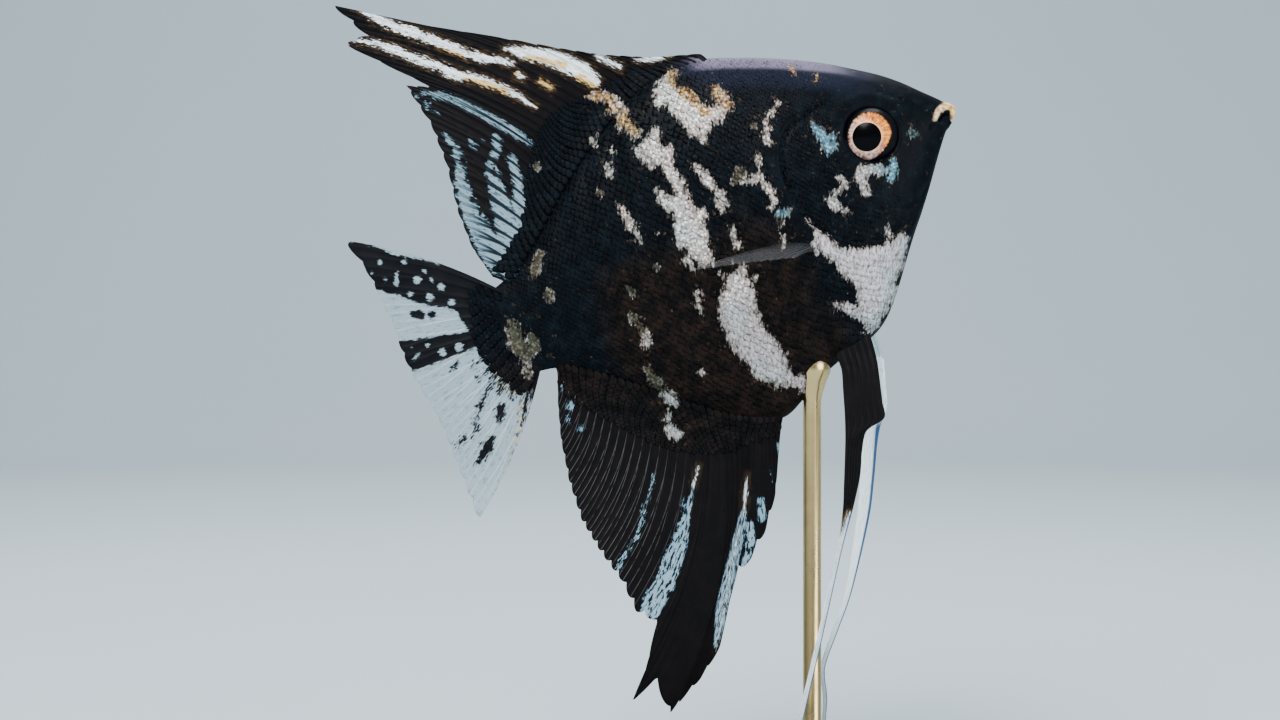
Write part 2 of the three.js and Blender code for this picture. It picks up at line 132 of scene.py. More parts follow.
# A pelvic fin is a ribbon that narrows to a streamer. Each row is (front u, front v, rear u, rear v).
PELVIC_RIGHT = [
    (30.2, -27.6, 36.9, -27.6), (30.9, -31.1, 37.5, -30.7), (31.6, -33.6, 37.9, -32.4),
    (32.8, -36.9, 39.3, -35.6), (34, -40.1, 40.8, -39.1), (35, -42.7, 42.1, -41.9),
    (38.7, -43.4, 43.2, -44.1), (41, -46.3, 44.6, -46.8), (43.1, -49.9, 46.4, -50.2),
    (46.8, -54.6, 48.7, -54.4), (51.7, -60.3, 52.4, -59.7), (61.5, -72.6, 62.3, -72.1),
    (70.6, -83.8, 71.3, -83.2), (75.6, -90.2, 76.2, -89.8),
]
PELVIC_LEFT = [
    (28.9, -28, 35.6, -28.2), (29.1, -32.4, 36.1, -31.4), (29.7, -35.1, 36.9, -33.8),
    (31, -38.5, 38.1, -37.2), (32.1, -41.6, 39.8, -41.2), (33.4, -43.4, 40.3, -42.9),
    (35, -44.9, 39.9, -44.8), (37.1, -47.9, 40.4, -48), (40.2, -53, 43.3, -53.3),
    (44.2, -59, 46.3, -58.2), (52.4, -69, 53.3, -68.2), (57.8, -74.3, 58.5, -73.6),
    (62.1, -78.4, 62.8, -77.8), (63.6, -80.7, 64.3, -80.3), (65.1, -84.7, 65.9, -84.6),
    (69.2, -91.4, 69.9, -91.2),
]
PELVIC_SPLAY = {"root": 2.2, "knee": 6.2, "tip": 5.2, "knee_at": 0.45}
PELVIC = {"rays": 6, "columns": 8, "rows": 200, "thickness": (0.8, 0.42), "length": 75}

PECTORAL = {
    "u": 31.2, "v": -10.4, "y": 6, "length": 24, "spread": 0.62, "out": 0.5, "rise": 0.24, "tilt": 0.1,
    "root": 3, "droop": 1.6, "skew": 0.8, "fullness": 0.55, "rays": 12, "columns": 10, "rows": 70,
    "thickness": (0.2, 0.06), "ray": (0.14, 0.05), "flesh": 0.5, "flesh_reach": 1.6, "notch": 0.03,
}

BASE = {"length": 112, "width": 66, "height": 9, "edge": 1.6, "foot": 0.5}
ROD = {"x": 18, "radius": 1.6, "foot": 5, "foot_height": 1.9, "cup": 3.2, "from": 80, "rim": 84, "to": 87.5}

# ---- Markings: strokes of (u, v, radius) -------------------------------------------------------

SADDLE = [
    [(41.7, 27.5, 0.9), (42.9, 26.3, 1.2), (44.5, 24.9, 1.5), (45.7, 23.6, 1)],
    [(43, 23.2, 1.5), (42.4, 20.8, 1.9), (41.6, 18.4, 2), (42.6, 17.3, 1.5)],
    [(40.6, 20.4, 1.2), (39.6, 18.2, 1.5), (37.9, 17.1, 1), (35.9, 17.8, 1), (35.7, 19.6, 0.9),
     (36.1, 21, 0.7)],
    [(41, 23.2, 0.5), (40.4, 21.9, 0.7)],
    [(40.8, 16.6, 1), (41.4, 15.4, 0.7), (41.9, 14.1, 0.3)],
]
NECK_STREAK = [
    [(56.5, 37, 1.4), (55.4, 33.1, 1.3), (55.4, 30.7, 1.1), (54.4, 29.5, 0.7), (53.5, 28.2, 0.7),
     (52.7, 26.5, 1.2), (52.6, 24.5, 1), (52.4, 22.7, 0.6), (51.9, 20.8, 0.7)],
    [(53.6, 27.2, 0.4), (54.1, 26, 0.3)], [(53.6, 23.1, 0.4), (54.1, 21.9, 0.3)],
    [(58.9, 23.6, 0.35), (59.1, 22.5, 0.4)], [(57, 20, 0.3)], [(58.8, 17.5, 0.4), (59.2, 16.5, 0.4)],
]
LONG_BAND = [
    [(48.6, 19.1, 0.6), (49.7, 18, 1.1), (50.9, 16.9, 1.5), (50.4, 15.5, 1.4), (48.6, 15.3, 0.9)],
    [(53, 17.5, 0.4), (52.6, 16.4, 0.6)], [(52, 15.1, 0.6), (51.8, 14, 0.3)],
    [(49.4, 13.7, 0.8), (49.5, 11.9, 0.7), (49.3, 9.9, 0.8), (49.5, 8.1, 0.9)],
    [(52.8, 9.5, 0.3), (52.5, 8.2, 0.8), (51.7, 6.5, 1.1), (49.9, 6.3, 1.3), (50.4, 4.2, 1.8),
     (50.2, 1.7, 1.9), (48.1, 2.6, 0.8)],
    [(52.9, 3.1, 0.5), (52.5, 0.5, 1.2), (50.4, -0.6, 1.7), (51.1, -2.6, 1.6), (50.7, -4.3, 1.2),
     (49.8, -5.4, 0.5)],
    [(53.4, -2.9, 0.5), (53.3, -4.7, 0.4)], [(46.2, -8.6, 0.4), (45.7, -9.6, 0.5)],
    [(48.4, -9.2, 0.5), (47.9, -11.2, 2.2), (48.8, -13.3, 3), (49.9, -15.6, 3.1), (50, -19, 3.1),
     (49.2, -22.7, 3.1), (48.4, -26, 2.8), (47.7, -28.5, 1.8)],
    [(47.2, -28.5, 1.2), (45.8, -30.4, 0.8), (44.2, -31.1, 0.6), (45.2, -32.1, 0.4)],
    [(44.4, -11.4, 0.4)], [(49.5, -7.7, 0.3), (49.6, -9.1, 0.3)],
    [(54.3, -9.2, 0.3), (55, -10.8, 0.3), (55.4, -12.3, 0.2)],
    [(52.9, -19.7, 0.4), (52.5, -20.8, 0.5)],
]
SHOULDER = [
    [(45.2, 10.5, 0.5), (44.7, 9, 0.8), (44.3, 7.4, 0.9), (44.1, 5.9, 0.7), (43.6, 4.4, 0.8),
     (42.8, 3.8, 0.4)],
    [(44.1, 3, 0.7), (44.6, 1.3, 0.4)],
    [(44, -1.6, 0.3), (44.6, -3.4, 0.4), (44.8, -5, 0.4)],
    [(27.6, 14.4, 0.4), (28.7, 13.4, 0.6), (30.4, 12.9, 0.5), (31.3, 11.5, 0.4), (32.2, 10.1, 0.4),
     (32, 8.7, 0.6)],
    [(34.8, 7.5, 0.4), (35.3, 6.3, 0.4)],
    [(38.9, 4.5, 0.4), (37.6, 4.1, 0.5), (36, 4, 0.5), (35.9, 2.3, 0.6), (35.7, 0.5, 0.6),
     (35.7, -0.9, 0.6), (36.6, -1.7, 0.4)],
    [(36.1, -5, 0.4)], [(36.9, -6.7, 0.2), (37.9, -8.7, 0.2)],
]
FLECKS = [
    [(60, 10.2, 0.4), (59.6, 8.4, 0.5), (59.8, 6.8, 0.7), (59.5, 5.2, 0.5), (59.3, 3.4, 0.3)],
    [(56.2, 3.1, 0.3)], [(65.8, -12.2, 0.8), (66.2, -13.2, 0.7)], [(60.1, -21.7, 0.5)],
    [(67.4, -22.1, 0.4), (66.6, -23.9, 0.9), (66.2, -25.1, 0.6)],
    [(67.8, -25.8, 0.6), (68.6, -26.9, 0.5)], [(68.9, -28.5, 1), (68.6, -29.9, 0.9)],
    [(22.4, 18.8, 0.55), (22.6, 18, 0.3)], [(19, 15.8, 0.45), (19.7, 15.3, 0.2)],
]
BREAST = [
    [(32.3, -6.4, 0.15), (31.5, -8.7, 0.6), (31.4, -10.4, 1), (30.6, -12.7, 1.3)],
    [(32.9, -10.6, 0.3), (33, -11.8, 0.3)],
    [(30.2, -13.9, 1.5), (28.2, -15.8, 1.9), (25.5, -17.1, 2), (22.8, -17.4, 1.8), (19.8, -17.4, 1.6),
     (17.9, -16.4, 0.8)],
    [(28.6, -16.5, 2.2), (26.8, -19.8, 3), (23.9, -19.8, 3), (21.2, -19.2, 2)],
    [(27.4, -21.9, 2.6), (25.4, -22.8, 2.8), (27.8, -24.6, 2.6), (29.5, -25.2, 1.8), (28.9, -26.9, 1.4),
     (30.2, -27.7, 0.8)],
    [(33.6, -22, 0.5), (32.2, -22.9, 0.8), (31, -24.4, 1)],
]
FACE = [
    [(15.6, -4.6, 0.7), (17.2, -3.7, 0.8), (19.2, -3, 0.95), (20.6, -3.5, 0.7)],
    [(20.6, -4.8, 0.7), (20.8, -6.4, 0.5)],
    [(23.9, -2.2, 0.45), (23.6, -3.6, 0.65), (24.7, -4.1, 0.5), (25.8, -4.2, 0.5), (26.8, -5, 0.7),
     (26.6, -6.3, 0.65), (25.4, -7.6, 0.55)],
    [(20.1, -13.7, 0.3), (20.2, -14.6, 0.5)],
]
FACE_BLUE = [
    [(23.8, 8.4, 0.25), (23.7, 6.9, 0.7), (23.4, 5.2, 0.9), (23.2, 3.4, 0.7), (24, 2.4, 0.3)],
    [(21.7, 5.1, 0.4), (22.4, 2.9, 0.35)],
    [(14.2, -3.5, 0.5), (14.8, -4.9, 0.85), (15.8, -5.9, 0.65)],
    [(36.1, -2.8, 0.5), (34.9, -3.5, 0.4)], [(8.8, -0.7, 0.35)],
]
DIM_FLECKS = [
    [(8.8, -0.7, 0.45)], [(64.8, -2.8, 0.4), (64.5, -4.1, 0.5)],
    [(66.2, -8.1, 0.5), (65.8, -9.3, 0.4), (65.7, -10.6, 0.5)],
    [(67.8, -17.5, 0.6), (67.8, -18.7, 0.9), (67.5, -21.1, 0.7)],
    [(58.9, -1.9, 0.4)], [(46, -7.4, 0.5)], [(38.8, 6.2, 0.8), (40.4, 5, 0.5)], [(33.2, 12.6, 0.5)],
    [(62, 14, 0.4)],
    [(75.9, 9.3, 0.5), (77.7, 7.7, 0.6), (78.7, 6.2, 0.4)],
    [(77.8, 2.4, 0.5), (78, 1.3, 0.4)], [(70, 23.2, 0.4)],
    [(85.8, 0, 1), (86.5, -3.5, 1.2), (86.2, -5.6, 1), (83.8, -4.8, 0.8), (83.6, -2.6, 0.5)],
    [(87.2, -8.4, 0.6)],
]
MOUTH = [
    [(3.9, 0, 0.3), (2.7, 0.9, 0.45), (1.4, 1.35, 0.6), (0.3, 1.3, 0.75), (-0.3, 0.4, 0.75),
     (0, -0.6, 0.6), (0.5, -1.3, 0.4)],
]
GOLD_TINGE = [
    [(41.7, 27.5, 0.9), (41.8, 25.7, 0.7)],
    [(41, 23.2, 0.8), (40.4, 21.9, 0.8), (39.3, 18.7, 0.7)],
    [(36, 21.2, 0.8), (35.7, 19.6, 0.8), (35.7, 17.9, 0.8)],
    [(57.8, 37.2, 0.5), (60.4, 39.6, 0.4), (63, 41.4, 0.3)],
    [(56.3, 33.8, 0.9), (55.5, 32, 1.2), (55.2, 30.2, 1)],
    [(53.8, 28.2, 0.8), (51.9, 21.4, 0.9)], [(22.4, 18.8, 0.9), (22.6, 18, 0.6)],
    [(19, 15.8, 0.9), (19.7, 15.3, 0.6)],
    [(0.4, 1.2, 0.3), (-0.4, 1, 0.8), (-0.3, 0, 0.5)],
    [(62.9, 36.6, 0.7), (61.6, 34.9, 1)],
    [(68.9, 37.6, 0.5), (71.6, 40.4, 0.4), (74.6, 43, 0.3)],
    [(78.3, 51, 0.4), (73.5, 46.8, 0.5)], [(66.2, 39.6, 0.4)],
]

DORSAL_WHITE = [
    [(65.6, 44.2, 0.6), (63.8, 42.9, 1), (61.1, 40.9, 1.3), (58.5, 38.7, 1.5), (56.6, 36.5, 1.6),
     (55.2, 34.5, 1.6), (54.3, 32.4, 1.2)],
    [(86.7, 64, 0.3), (85.5, 62.1, 0.5), (83.8, 59.4, 0.8), (81.5, 56.6, 0.9), (79, 54.2, 0.9),
     (76.6, 51.6, 0.9), (74.3, 49, 0.9), (72.3, 46.7, 0.8), (69.7, 44.6, 0.7), (67, 42.6, 0.6),
     (65.6, 41.2, 0.3)],
    [(65.9, 39.4, 0.6), (65.1, 38.4, 0.3)], [(62.9, 36.6, 0.4), (61.6, 34.9, 0.6)],
    [(89.3, 58.2, 0.3), (87, 56.5, 0.5), (84.9, 54.7, 0.7), (82.5, 52.1, 0.8), (80.2, 49.4, 0.8),
     (77.7, 46.9, 0.8), (75.4, 44.1, 0.9), (72.7, 42.1, 0.8), (70.7, 40, 0.8), (68.7, 37.8, 0.7),
     (67, 35.2, 0.5), (65.6, 33, 0.2)],
    [(51.8, 36, 0.5), (49.1, 32.7, 0.5)],
    [(46, 32.6, 0.3), (43.7, 31.6, 0.5), (40.6, 30.8, 0.4)],
]
DORSAL_CLEAR = [
    [(82.3, 44.4, 0.35), (79.6, 42.2, 0.6), (77.3, 39.9, 0.8), (75.1, 37, 0.85), (73, 33.9, 0.85),
     (70.9, 30.8, 0.75), (69.6, 28.4, 0.6), (68.7, 26.6, 0.3)],
    [(83.8, 44.5, 0.2), (82.3, 41.9, 0.2)], [(83.1, 42, 0.2), (81.5, 39.7, 0.2)],
    [(74.2, 31.2, 0.7), (74.7, 29.3, 0.8), (76, 28.4, 0.8)],
    [(73.5, 26.5, 0.8), (73.5, 24.8, 0.8), (74, 22.6, 0.9), (75.4, 19.4, 1.1), (76.7, 16.2, 1.3),
     (78.2, 13, 1.4)],
    [(77.2, 27.2, 1), (77.9, 24, 1.3), (78.4, 20.6, 1.6), (78.9, 17.7, 1.9), (79.8, 14.5, 2.3),
     (81.3, 11.5, 2.3), (82.1, 8.9, 1.6)],
    [(82, 35.7, 0.4), (81.5, 33, 0.6), (81.7, 30, 0.8), (83.1, 27.1, 1.2), (83.6, 23, 1.5),
     (83.8, 18.9, 1.9), (83.7, 15.2, 2.2), (83.4, 10.8, 2)],
    [(78.5, 32.8, 0.4), (78.3, 30.8, 0.4)], [(76.6, 31.8, 0.3)],
]
DORSAL_DARK = [
    [(76.7, 30.6, 0.35), (77.8, 28.2, 0.4), (79.5, 25.9, 0.45), (80.5, 23.4, 0.4), (82.6, 20.1, 0.3)],
    [(73.8, 28.6, 0.25), (74.6, 26, 0.35), (76.1, 23.7, 0.35), (76.7, 21.2, 0.25)],
    [(81, 30.9, 0.5), (81.3, 29.2, 0.4)],
    [(81.6, 27, 0.4), (81.4, 24.4, 0.5), (82.5, 23.1, 0.3)],
    [(76.5, 26.9, 0.3), (77.3, 25.5, 0.2)],
]
ANAL_WHITE = [
    [(67.4, -36.5, 0.3), (69.1, -38.4, 0.35), (70, -39.5, 0.25)],
    [(60.3, -41.6, 0.2), (61.3, -43.2, 0.35), (62.3, -44.9, 0.5), (63.5, -46.9, 0.35),
     (64.8, -48.7, 0.2)],
    [(65.4, -49.2, 0.2), (67.6, -51.9, 0.25), (70, -55, 0.25), (72.5, -58.6, 0.25), (75.1, -62.2, 0.22),
     (77.1, -64.9, 0.2), (79.2, -67.9, 0.15)],
]
ANAL_CLEAR = [
    [(82.5, -13, 0.6), (82.2, -13.9, 0.5)], [(81.5, -14.1, 0.4)],
    [(83.5, -16.4, 0.3), (83.5, -17.2, 0.3)], [(82.7, -16.8, 0.45), (83, -17.5, 0.4)],
    [(84.5, -18.6, 0.3), (84.6, -19.3, 0.3)], [(83.1, -21.5, 0.45)],
    [(75.1, -34.4, 0.1), (77.4, -37, 0.15), (81, -41.1, 0.3), (82.7, -42.9, 0.25), (85.3, -44.4, 0.35),
     (87.8, -46.2, 0.45)],
    [(69.4, -38.7, 0.2), (71.6, -41.4, 0.5), (73.5, -43.7, 0.8), (75.4, -46, 1.3), (78.1, -48.9, 1.7),
     (80.5, -51, 1.9), (82.4, -52.7, 2), (84.8, -54.2, 2), (86.2, -55.7, 1.7), (87.2, -57.6, 0.7)],
    [(72.2, -40.3, 0.25), (72.9, -41.4, 0.3)],
    [(63.8, -47.3, 0.6), (65.5, -49.7, 0.9), (68, -52.8, 1.1), (70.5, -55.9, 1.2), (72.7, -58.5, 1.2),
     (74.8, -61.2, 1.2), (76.7, -64.1, 0.9), (78.7, -66.8, 0.4)],
    [(60.3, -46.9, 0.8), (61.3, -49.9, 0.8)],
    [(63.9, -50, 0.8), (64.9, -52.7, 0.9), (66.6, -54.8, 0.7), (68.4, -56.1, 0.4)],
    [(53.1, -39.2, 0.35), (53.7, -40.8, 0.35)], [(56.4, -42.7, 0.15), (56.9, -44.8, 0.15)],
]
CAUDAL_CLEAR = [
    [(98, 28, 8), (106, 10, 12), (106, -14, 14), (104, -30, 14)],
    [(96, -9, 5), (92.6, -10.6, 3.2), (90.4, -11.8, 2), (92.6, -15, 2.4)],
]
CAUDAL_DARK = [
    [(106.5, 26.8, 0.3), (105.6, 25.1, 0.9), (104.4, 23.3, 1.8), (103.3, 20.5, 3.1), (101.6, 17.9, 3.2),
     (99, 15.9, 3.5), (96.6, 13.7, 3.7), (94.2, 11.5, 3.4), (91.8, 9.1, 2.8), (89.9, 6.9, 2.6),
     (88.6, 4.5, 2.8)],
    [(101, 9.7, 0.45), (100, 9.2, 0.75), (99.6, 8.5, 0.5)],
    [(98, 8, 0.6)],
    [(105.8, 3.9, 2.4), (104.2, 3.2, 2.6), (102, 2.7, 2.4), (98.8, 2, 2.1), (95.2, 1.3, 1.6),
     (92.5, 0.7, 1.3), (90.7, 0.1, 1.5)],
    [(90.4, 4.9, 2.2), (90.2, 2.3, 2.2), (89.7, -0.4, 1.9), (89.3, -3.6, 1.6), (88.9, -6.8, 1.6),
     (88.1, -9.4, 1.3)],
    [(97.6, -1.6, 0.3), (98.2, -1.9, 0.35)], [(98.9, -1.8, 0.25)], [(91.4, -2.3, 0.3), (95.3, -3.2, 0.1)],
    [(91.3, -4.1, 0.35), (95.6, -5.8, 0.1)],
    [(91.1, -5.7, 0.4), (94.7, -8, 0.25), (97.1, -10.1, 0.4), (98.1, -11.1, 0.35), (99.7, -12.6, 0.1)],
    [(91.5, -7.6, 0.5), (93.5, -9.6, 0.15)],
    [(89.8, -8.3, 0.8), (91, -10.3, 0.4), (91.8, -11.4, 0.1)],
    [(87.6, -10.9, 0.4), (89.8, -12.9, 0.3), (91.5, -15.6, 0.15)],
    [(94.2, -12, 0.7), (95.1, -13.5, 0.75)],
    [(98.1, -16.3, 0.55), (99.6, -17.3, 0.95), (101.1, -18.3, 0.75), (102.1, -18.8, 0.4)],
    [(99.4, -13.4, 0.25), (100.8, -14.3, 0.15)], [(102.3, -13.8, 0.2), (104.5, -14.7, 0.12)],
]
CAUDAL_SPOTS = [
    [(98.1, 18.4, 0.55)], [(100.2, 17.2, 0.4), (101.1, 15.7, 0.5)], [(97.4, 14.6, 0.75)],
    [(102, 20.2, 0.45)], [(95.6, 15.5, 0.4)], [(95.3, 13.4, 0.4)], [(94.3, 11.6, 0.75)],
    [(99.7, 12.9, 0.6)], [(96.9, 10.9, 0.75)], [(93.8, 8.5, 0.65)], [(102.5, 17.1, 0.35)],
    [(104, 19.1, 0.3)], [(94.8, 3.7, 0.9)], [(97.3, 4.4, 0.7)], [(96.2, 0.9, 0.8)], [(99.2, 1.2, 0.7)],
    [(101, 3.6, 0.4)], [(104.1, 2.4, 0.3), (102.9, 2.8, 0.3)], [(103.7, 4.4, 0.25)],
]
CAUDAL_SPECKS = [
    [(91.6, -5.5, 0.8), (91.9, -8.2, 1.2), (90.6, -10, 1.3), (88.4, -11.2, 0.8)],
    [(90.2, -13.2, 0.8), (92.2, -16.2, 0.9), (94.4, -19.2, 0.8), (97.3, -22.7, 0.5)],
]
PELVIC_NEAR_WHITE = [[(47.6, -55.2, 0.4), (50.5, -58.6, 1.2), (62, -73, 2), (78, -94, 2)]]
PELVIC_FAR_WHITE = [[(33, -37, 5), (36, -46, 6), (50, -64, 8), (72, -94, 8)]]
PELVIC_FAR_CLEAR = [[(29, -27, 5), (34, -36, 5)]]

MARK_REACH = 4.0  # a mark's depth is followed this far outside it
FLANK_EARTH = {"above": 10, "below": -12, "front": 36, "rear": 78}

# ---- Camera ----------------------------------------------------------------------------------

CAMERA = {"place": (-0.0123, -0.313, 0.0862), "lens": 50, "sensor": 36, "nearest": 0.01}


def make_camera():
    camera = bpy.data.cameras.new("camera")
    camera.lens = CAMERA["lens"]
    camera.sensor_width = CAMERA["sensor"]
    camera.clip_start = CAMERA["nearest"]
    camera_object = bpy.data.objects.new("camera", camera)
    camera_object.location = CAMERA["place"]
    camera_object.rotation_euler = (math.pi / 2, 0, 0)
    bpy.context.scene.collection.objects.link(camera_object)
    bpy.context.scene.camera = camera_object


make_camera()

# ---- Shapes of numbers -----------------------------------------------------------------------


def step(value, low, high):
    """Rises smoothly from 0 at low to 1 at high."""
    t = np.clip((value - low) / (high - low), 0, 1)
    return t * t * (3 - 2 * t)


def bump(distance, width):
    return np.exp(-((distance / width) ** 2))


def blend(a, b, t):
    return a + (b - a) * t


def through(stations):
    """The smooth curve through stations (at, value), as a function of an array."""
    at, value = np.array(stations, float).T
    later = np.minimum(np.arange(len(at)) + 1, len(at) - 1)
    earlier = np.maximum(np.arange(len(at)) - 1, 0)
    slope = (value[later] - value[earlier]) / (at[later] - at[earlier])

    def curve(places):
        places = np.asarray(places, float)
        i = np.clip(np.searchsorted(at, places, side="right") - 1, 0, len(at) - 2)
        span = at[i + 1] - at[i]
        t = np.clip((places - at[i]) / span, 0, 1)
        t2 = t * t
        t3 = t2 * t
        ends = (2 * t3 - 3 * t2 + 1) * value[i] + (3 * t2 - 2 * t3) * value[i + 1]
        return ends + span * ((t3 - 2 * t2 + t) * slope[i] + (t3 - t2) * slope[i + 1])

    return curve


def smooth_path(points, count):
    """A smooth line of count points through a few."""
    share = np.linspace(0, len(points) - 1, count)
    columns = np.array(points, float).T
    return np.stack([through(list(enumerate(column)))(share) for column in columns], axis=1)


def to_frame(places):
    """(u, y, v) in millimetres to the shared frame in metres."""
    u, y, v = np.moveaxis(np.asarray(places, float), -1, 0)
    x = SNOUT[0] - u * math.cos(PITCH) - v * math.sin(PITCH)
    z = SNOUT[1] - u * math.sin(PITCH) + v * math.cos(PITCH)
    return np.stack([x, y, z], axis=-1) * MM


def line_offset(u, v, path):
    """Signed distance to an open line: positive on the line's left as it runs, in (u, v)."""
    nearest = np.full(u.shape, 1e9)
    signed = np.zeros(u.shape)
    for (u0, v0), (u1, v1) in zip(path, path[1:]):
        du, dv = u1 - u0, v1 - v0
        t = np.clip(((u - u0) * du + (v - v0) * dv) / (du * du + dv * dv), 0, 1)
        away = np.hypot(u - u0 - du * t, v - v0 - dv * t)
        side = np.sign(du * (v - v0) - dv * (u - u0))
        closer = away < nearest
        nearest = np.where(closer, away, nearest)
        signed = np.where(closer, side * away, signed)
    return signed


# ---- Markings on any surface -------------------------------------------------------------------


def painted(u, v, strokes):
    """How deep each place lies inside a set of brush strokes; below 0 outside them."""
    depth = np.full(u.shape, -MARK_REACH)
    for stroke in strokes:
        path = np.array(stroke * 2 if len(stroke) == 1 else stroke, float)
        reach = path[:, 2].max() + MARK_REACH
        low = path[:, :2].min(axis=0) - reach
        high = path[:, :2].max(axis=0) + reach
        near = np.flatnonzero((u > low[0]) & (u < high[0]) & (v > low[1]) & (v < high[1]))
        un, vn = u[near], v[near]
        for (u0, v0, r0), (u1, v1, r1) in zip(path, path[1:]):
            du, dv = u1 - u0, v1 - v0
            t = np.clip(((un - u0) * du + (vn - v0) * dv) / max(du * du + dv * dv, 1e-9), 0, 1)
            inside = r0 + (r1 - r0) * t - np.hypot(un - u0 - du * t, vn - v0 - dv * t)
            depth[near] = np.maximum(depth[near], inside)
    return depth


def body_marks(places):
    """The body's colour masks at places (u, y, v). The left side's marbling is the same, shifted about."""
    u, y, v = places.T
    left = step(y, 0.3, 3.5)
    u, v = (
        u + left * (2.4 * np.sin(v / 7 + 0.9) + 1.2 * np.sin(v / 3.1 + u / 9)),
        v + left * (2.6 * np.sin(u / 8 + 2.1) + 1.1 * np.sin(u / 3.4 - v / 7)),
    )
    broad = painted(u, v, SADDLE + NECK_STREAK + LONG_BAND) + 0.1
    silver = np.maximum(broad, painted(u, v, SHOULDER + FLECKS) - 0.1)
    under_cover = line_offset(u, v, smooth_path(GILL_MARGIN, 40))
    breast = painted(u, v, BREAST)
    breast = np.minimum(breast, 3 * np.maximum(under_cover, v + 12) - 0.2)
    breast = np.minimum(breast, v - belly_level(u) - 0.5)
    blue = painted(u, v, FACE_BLUE)
    face = painted(u, v, FACE)
    dim = painted(u, v, DIM_FLECKS)
    low_band = step(v, -10, -17) * step(silver, -0.9, 0.2)
    mouth = painted(u, v, MOUTH)
    bluish = blend(0.2, 0.75, step(u, 20, 16))
    depth = back_level(u) - v
    nape = step(u, 7, 20) * step(u, 42, 34)
    flank = step(v, FLANK_EARTH["above"], FLANK_EARTH["below"])
    flank *= step(u, FLANK_EARTH["front"] - 8, FLANK_EARTH["front"] + 6)
    flank *= step(u, FLANK_EARTH["rear"], FLANK_EARTH["rear"] - 12)
    return {
        "pale": np.maximum.reduce([silver, breast, face, blue, dim]),
        "warm": step(painted(u, v, GOLD_TINGE), -1.9, 0.4),
        "cool": np.maximum(step(blue, -0.8, 0.1), bluish * step(face, -0.8, 0.2)),
        "dim": np.maximum(step(dim, -0.8, 0.2), low_band * step(breast, 0.2, -0.9) * 0.22),
        # A painted sheen of light from above, strongest just under the back of the nape and fading lower
        # down
        "bloom": (step(depth, 9, 4) * 0.3 + step(depth, 3.4, 1.9) * 0.7) * nape,
        "earth": flank,
        "calm": np.maximum(step(breast, -0.9, 0.2), low_band * 0.85),
        "lips": step(mouth, -0.5, 0.35),
    }


def fin_marks(places, white, clear, dark=(), spots=(), specks=()):
    """A fin's colour masks: opaque white, clear membrane with dark marks left in it, and gold specks."""
    u, _, v = places.T
    see_through = painted(u, v, clear)
    if dark:
        see_through = np.minimum(see_through, -painted(u, v, dark))
    if spots:
        see_through = np.maximum(see_through, painted(u, v, spots))
    return {
        "pale": painted(u, v, white),
        "warm": step(painted(u, v, GOLD_TINGE), -1.0, 0.5),
        "clear": see_through,
        "specks": step(painted(u, v, specks), -1.2, 0.6),
    }


back_level = through(BACK)
belly_level = through(BELLY)
middle_level = through(MIDDLE)
half_width = through(HALF_WIDTH)

# ---- Meshes ----------------------------------------------------------------------------------


def mesh_points(mesh):
    points = np.zeros(len(mesh.vertices) * 3, np.float32)
    mesh.vertices.foreach_get("co", points)
    return points.reshape(-1, 3).astype(float)


def place_points(mesh, points):
    mesh.vertices.foreach_set("co", np.asarray(points, np.float32).ravel())
    mesh.update()


def store(mesh, values):
    """Keeps named numbers on a mesh's points, for its material to read."""
    for name, numbers in values.items():
        layer = mesh.attributes.new(name, "FLOAT", "POINT")
        layer.data.foreach_set("value", np.asarray(numbers, np.float32))


def face_outwards(mesh):
    shape = bmesh.new()
    shape.from_mesh(mesh)
    bmesh.ops.recalc_face_normals(shape, faces=shape.faces)
    shape.to_mesh(mesh)
    shape.free()


def finish_piece(mesh, name, material, nodes=()):
    """Puts a finished mesh in the scene as a piece of the fish or its stand."""
    mesh.name = name
    mesh.materials.clear()
    mesh.materials.append(material)
    mesh.shade_smooth()
    piece = bpy.data.objects.new(name, mesh)
    bpy.context.scene.collection.objects.link(piece)
    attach(piece, "root")
    if nodes:
        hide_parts(*nodes)


def mesh_of(shape):
    mesh = bpy.data.meshes.new("shape")
    shape.to_mesh(mesh)
    shape.free()
    return mesh


# ---- Shader nodes ----------------------------------------------------------------------------


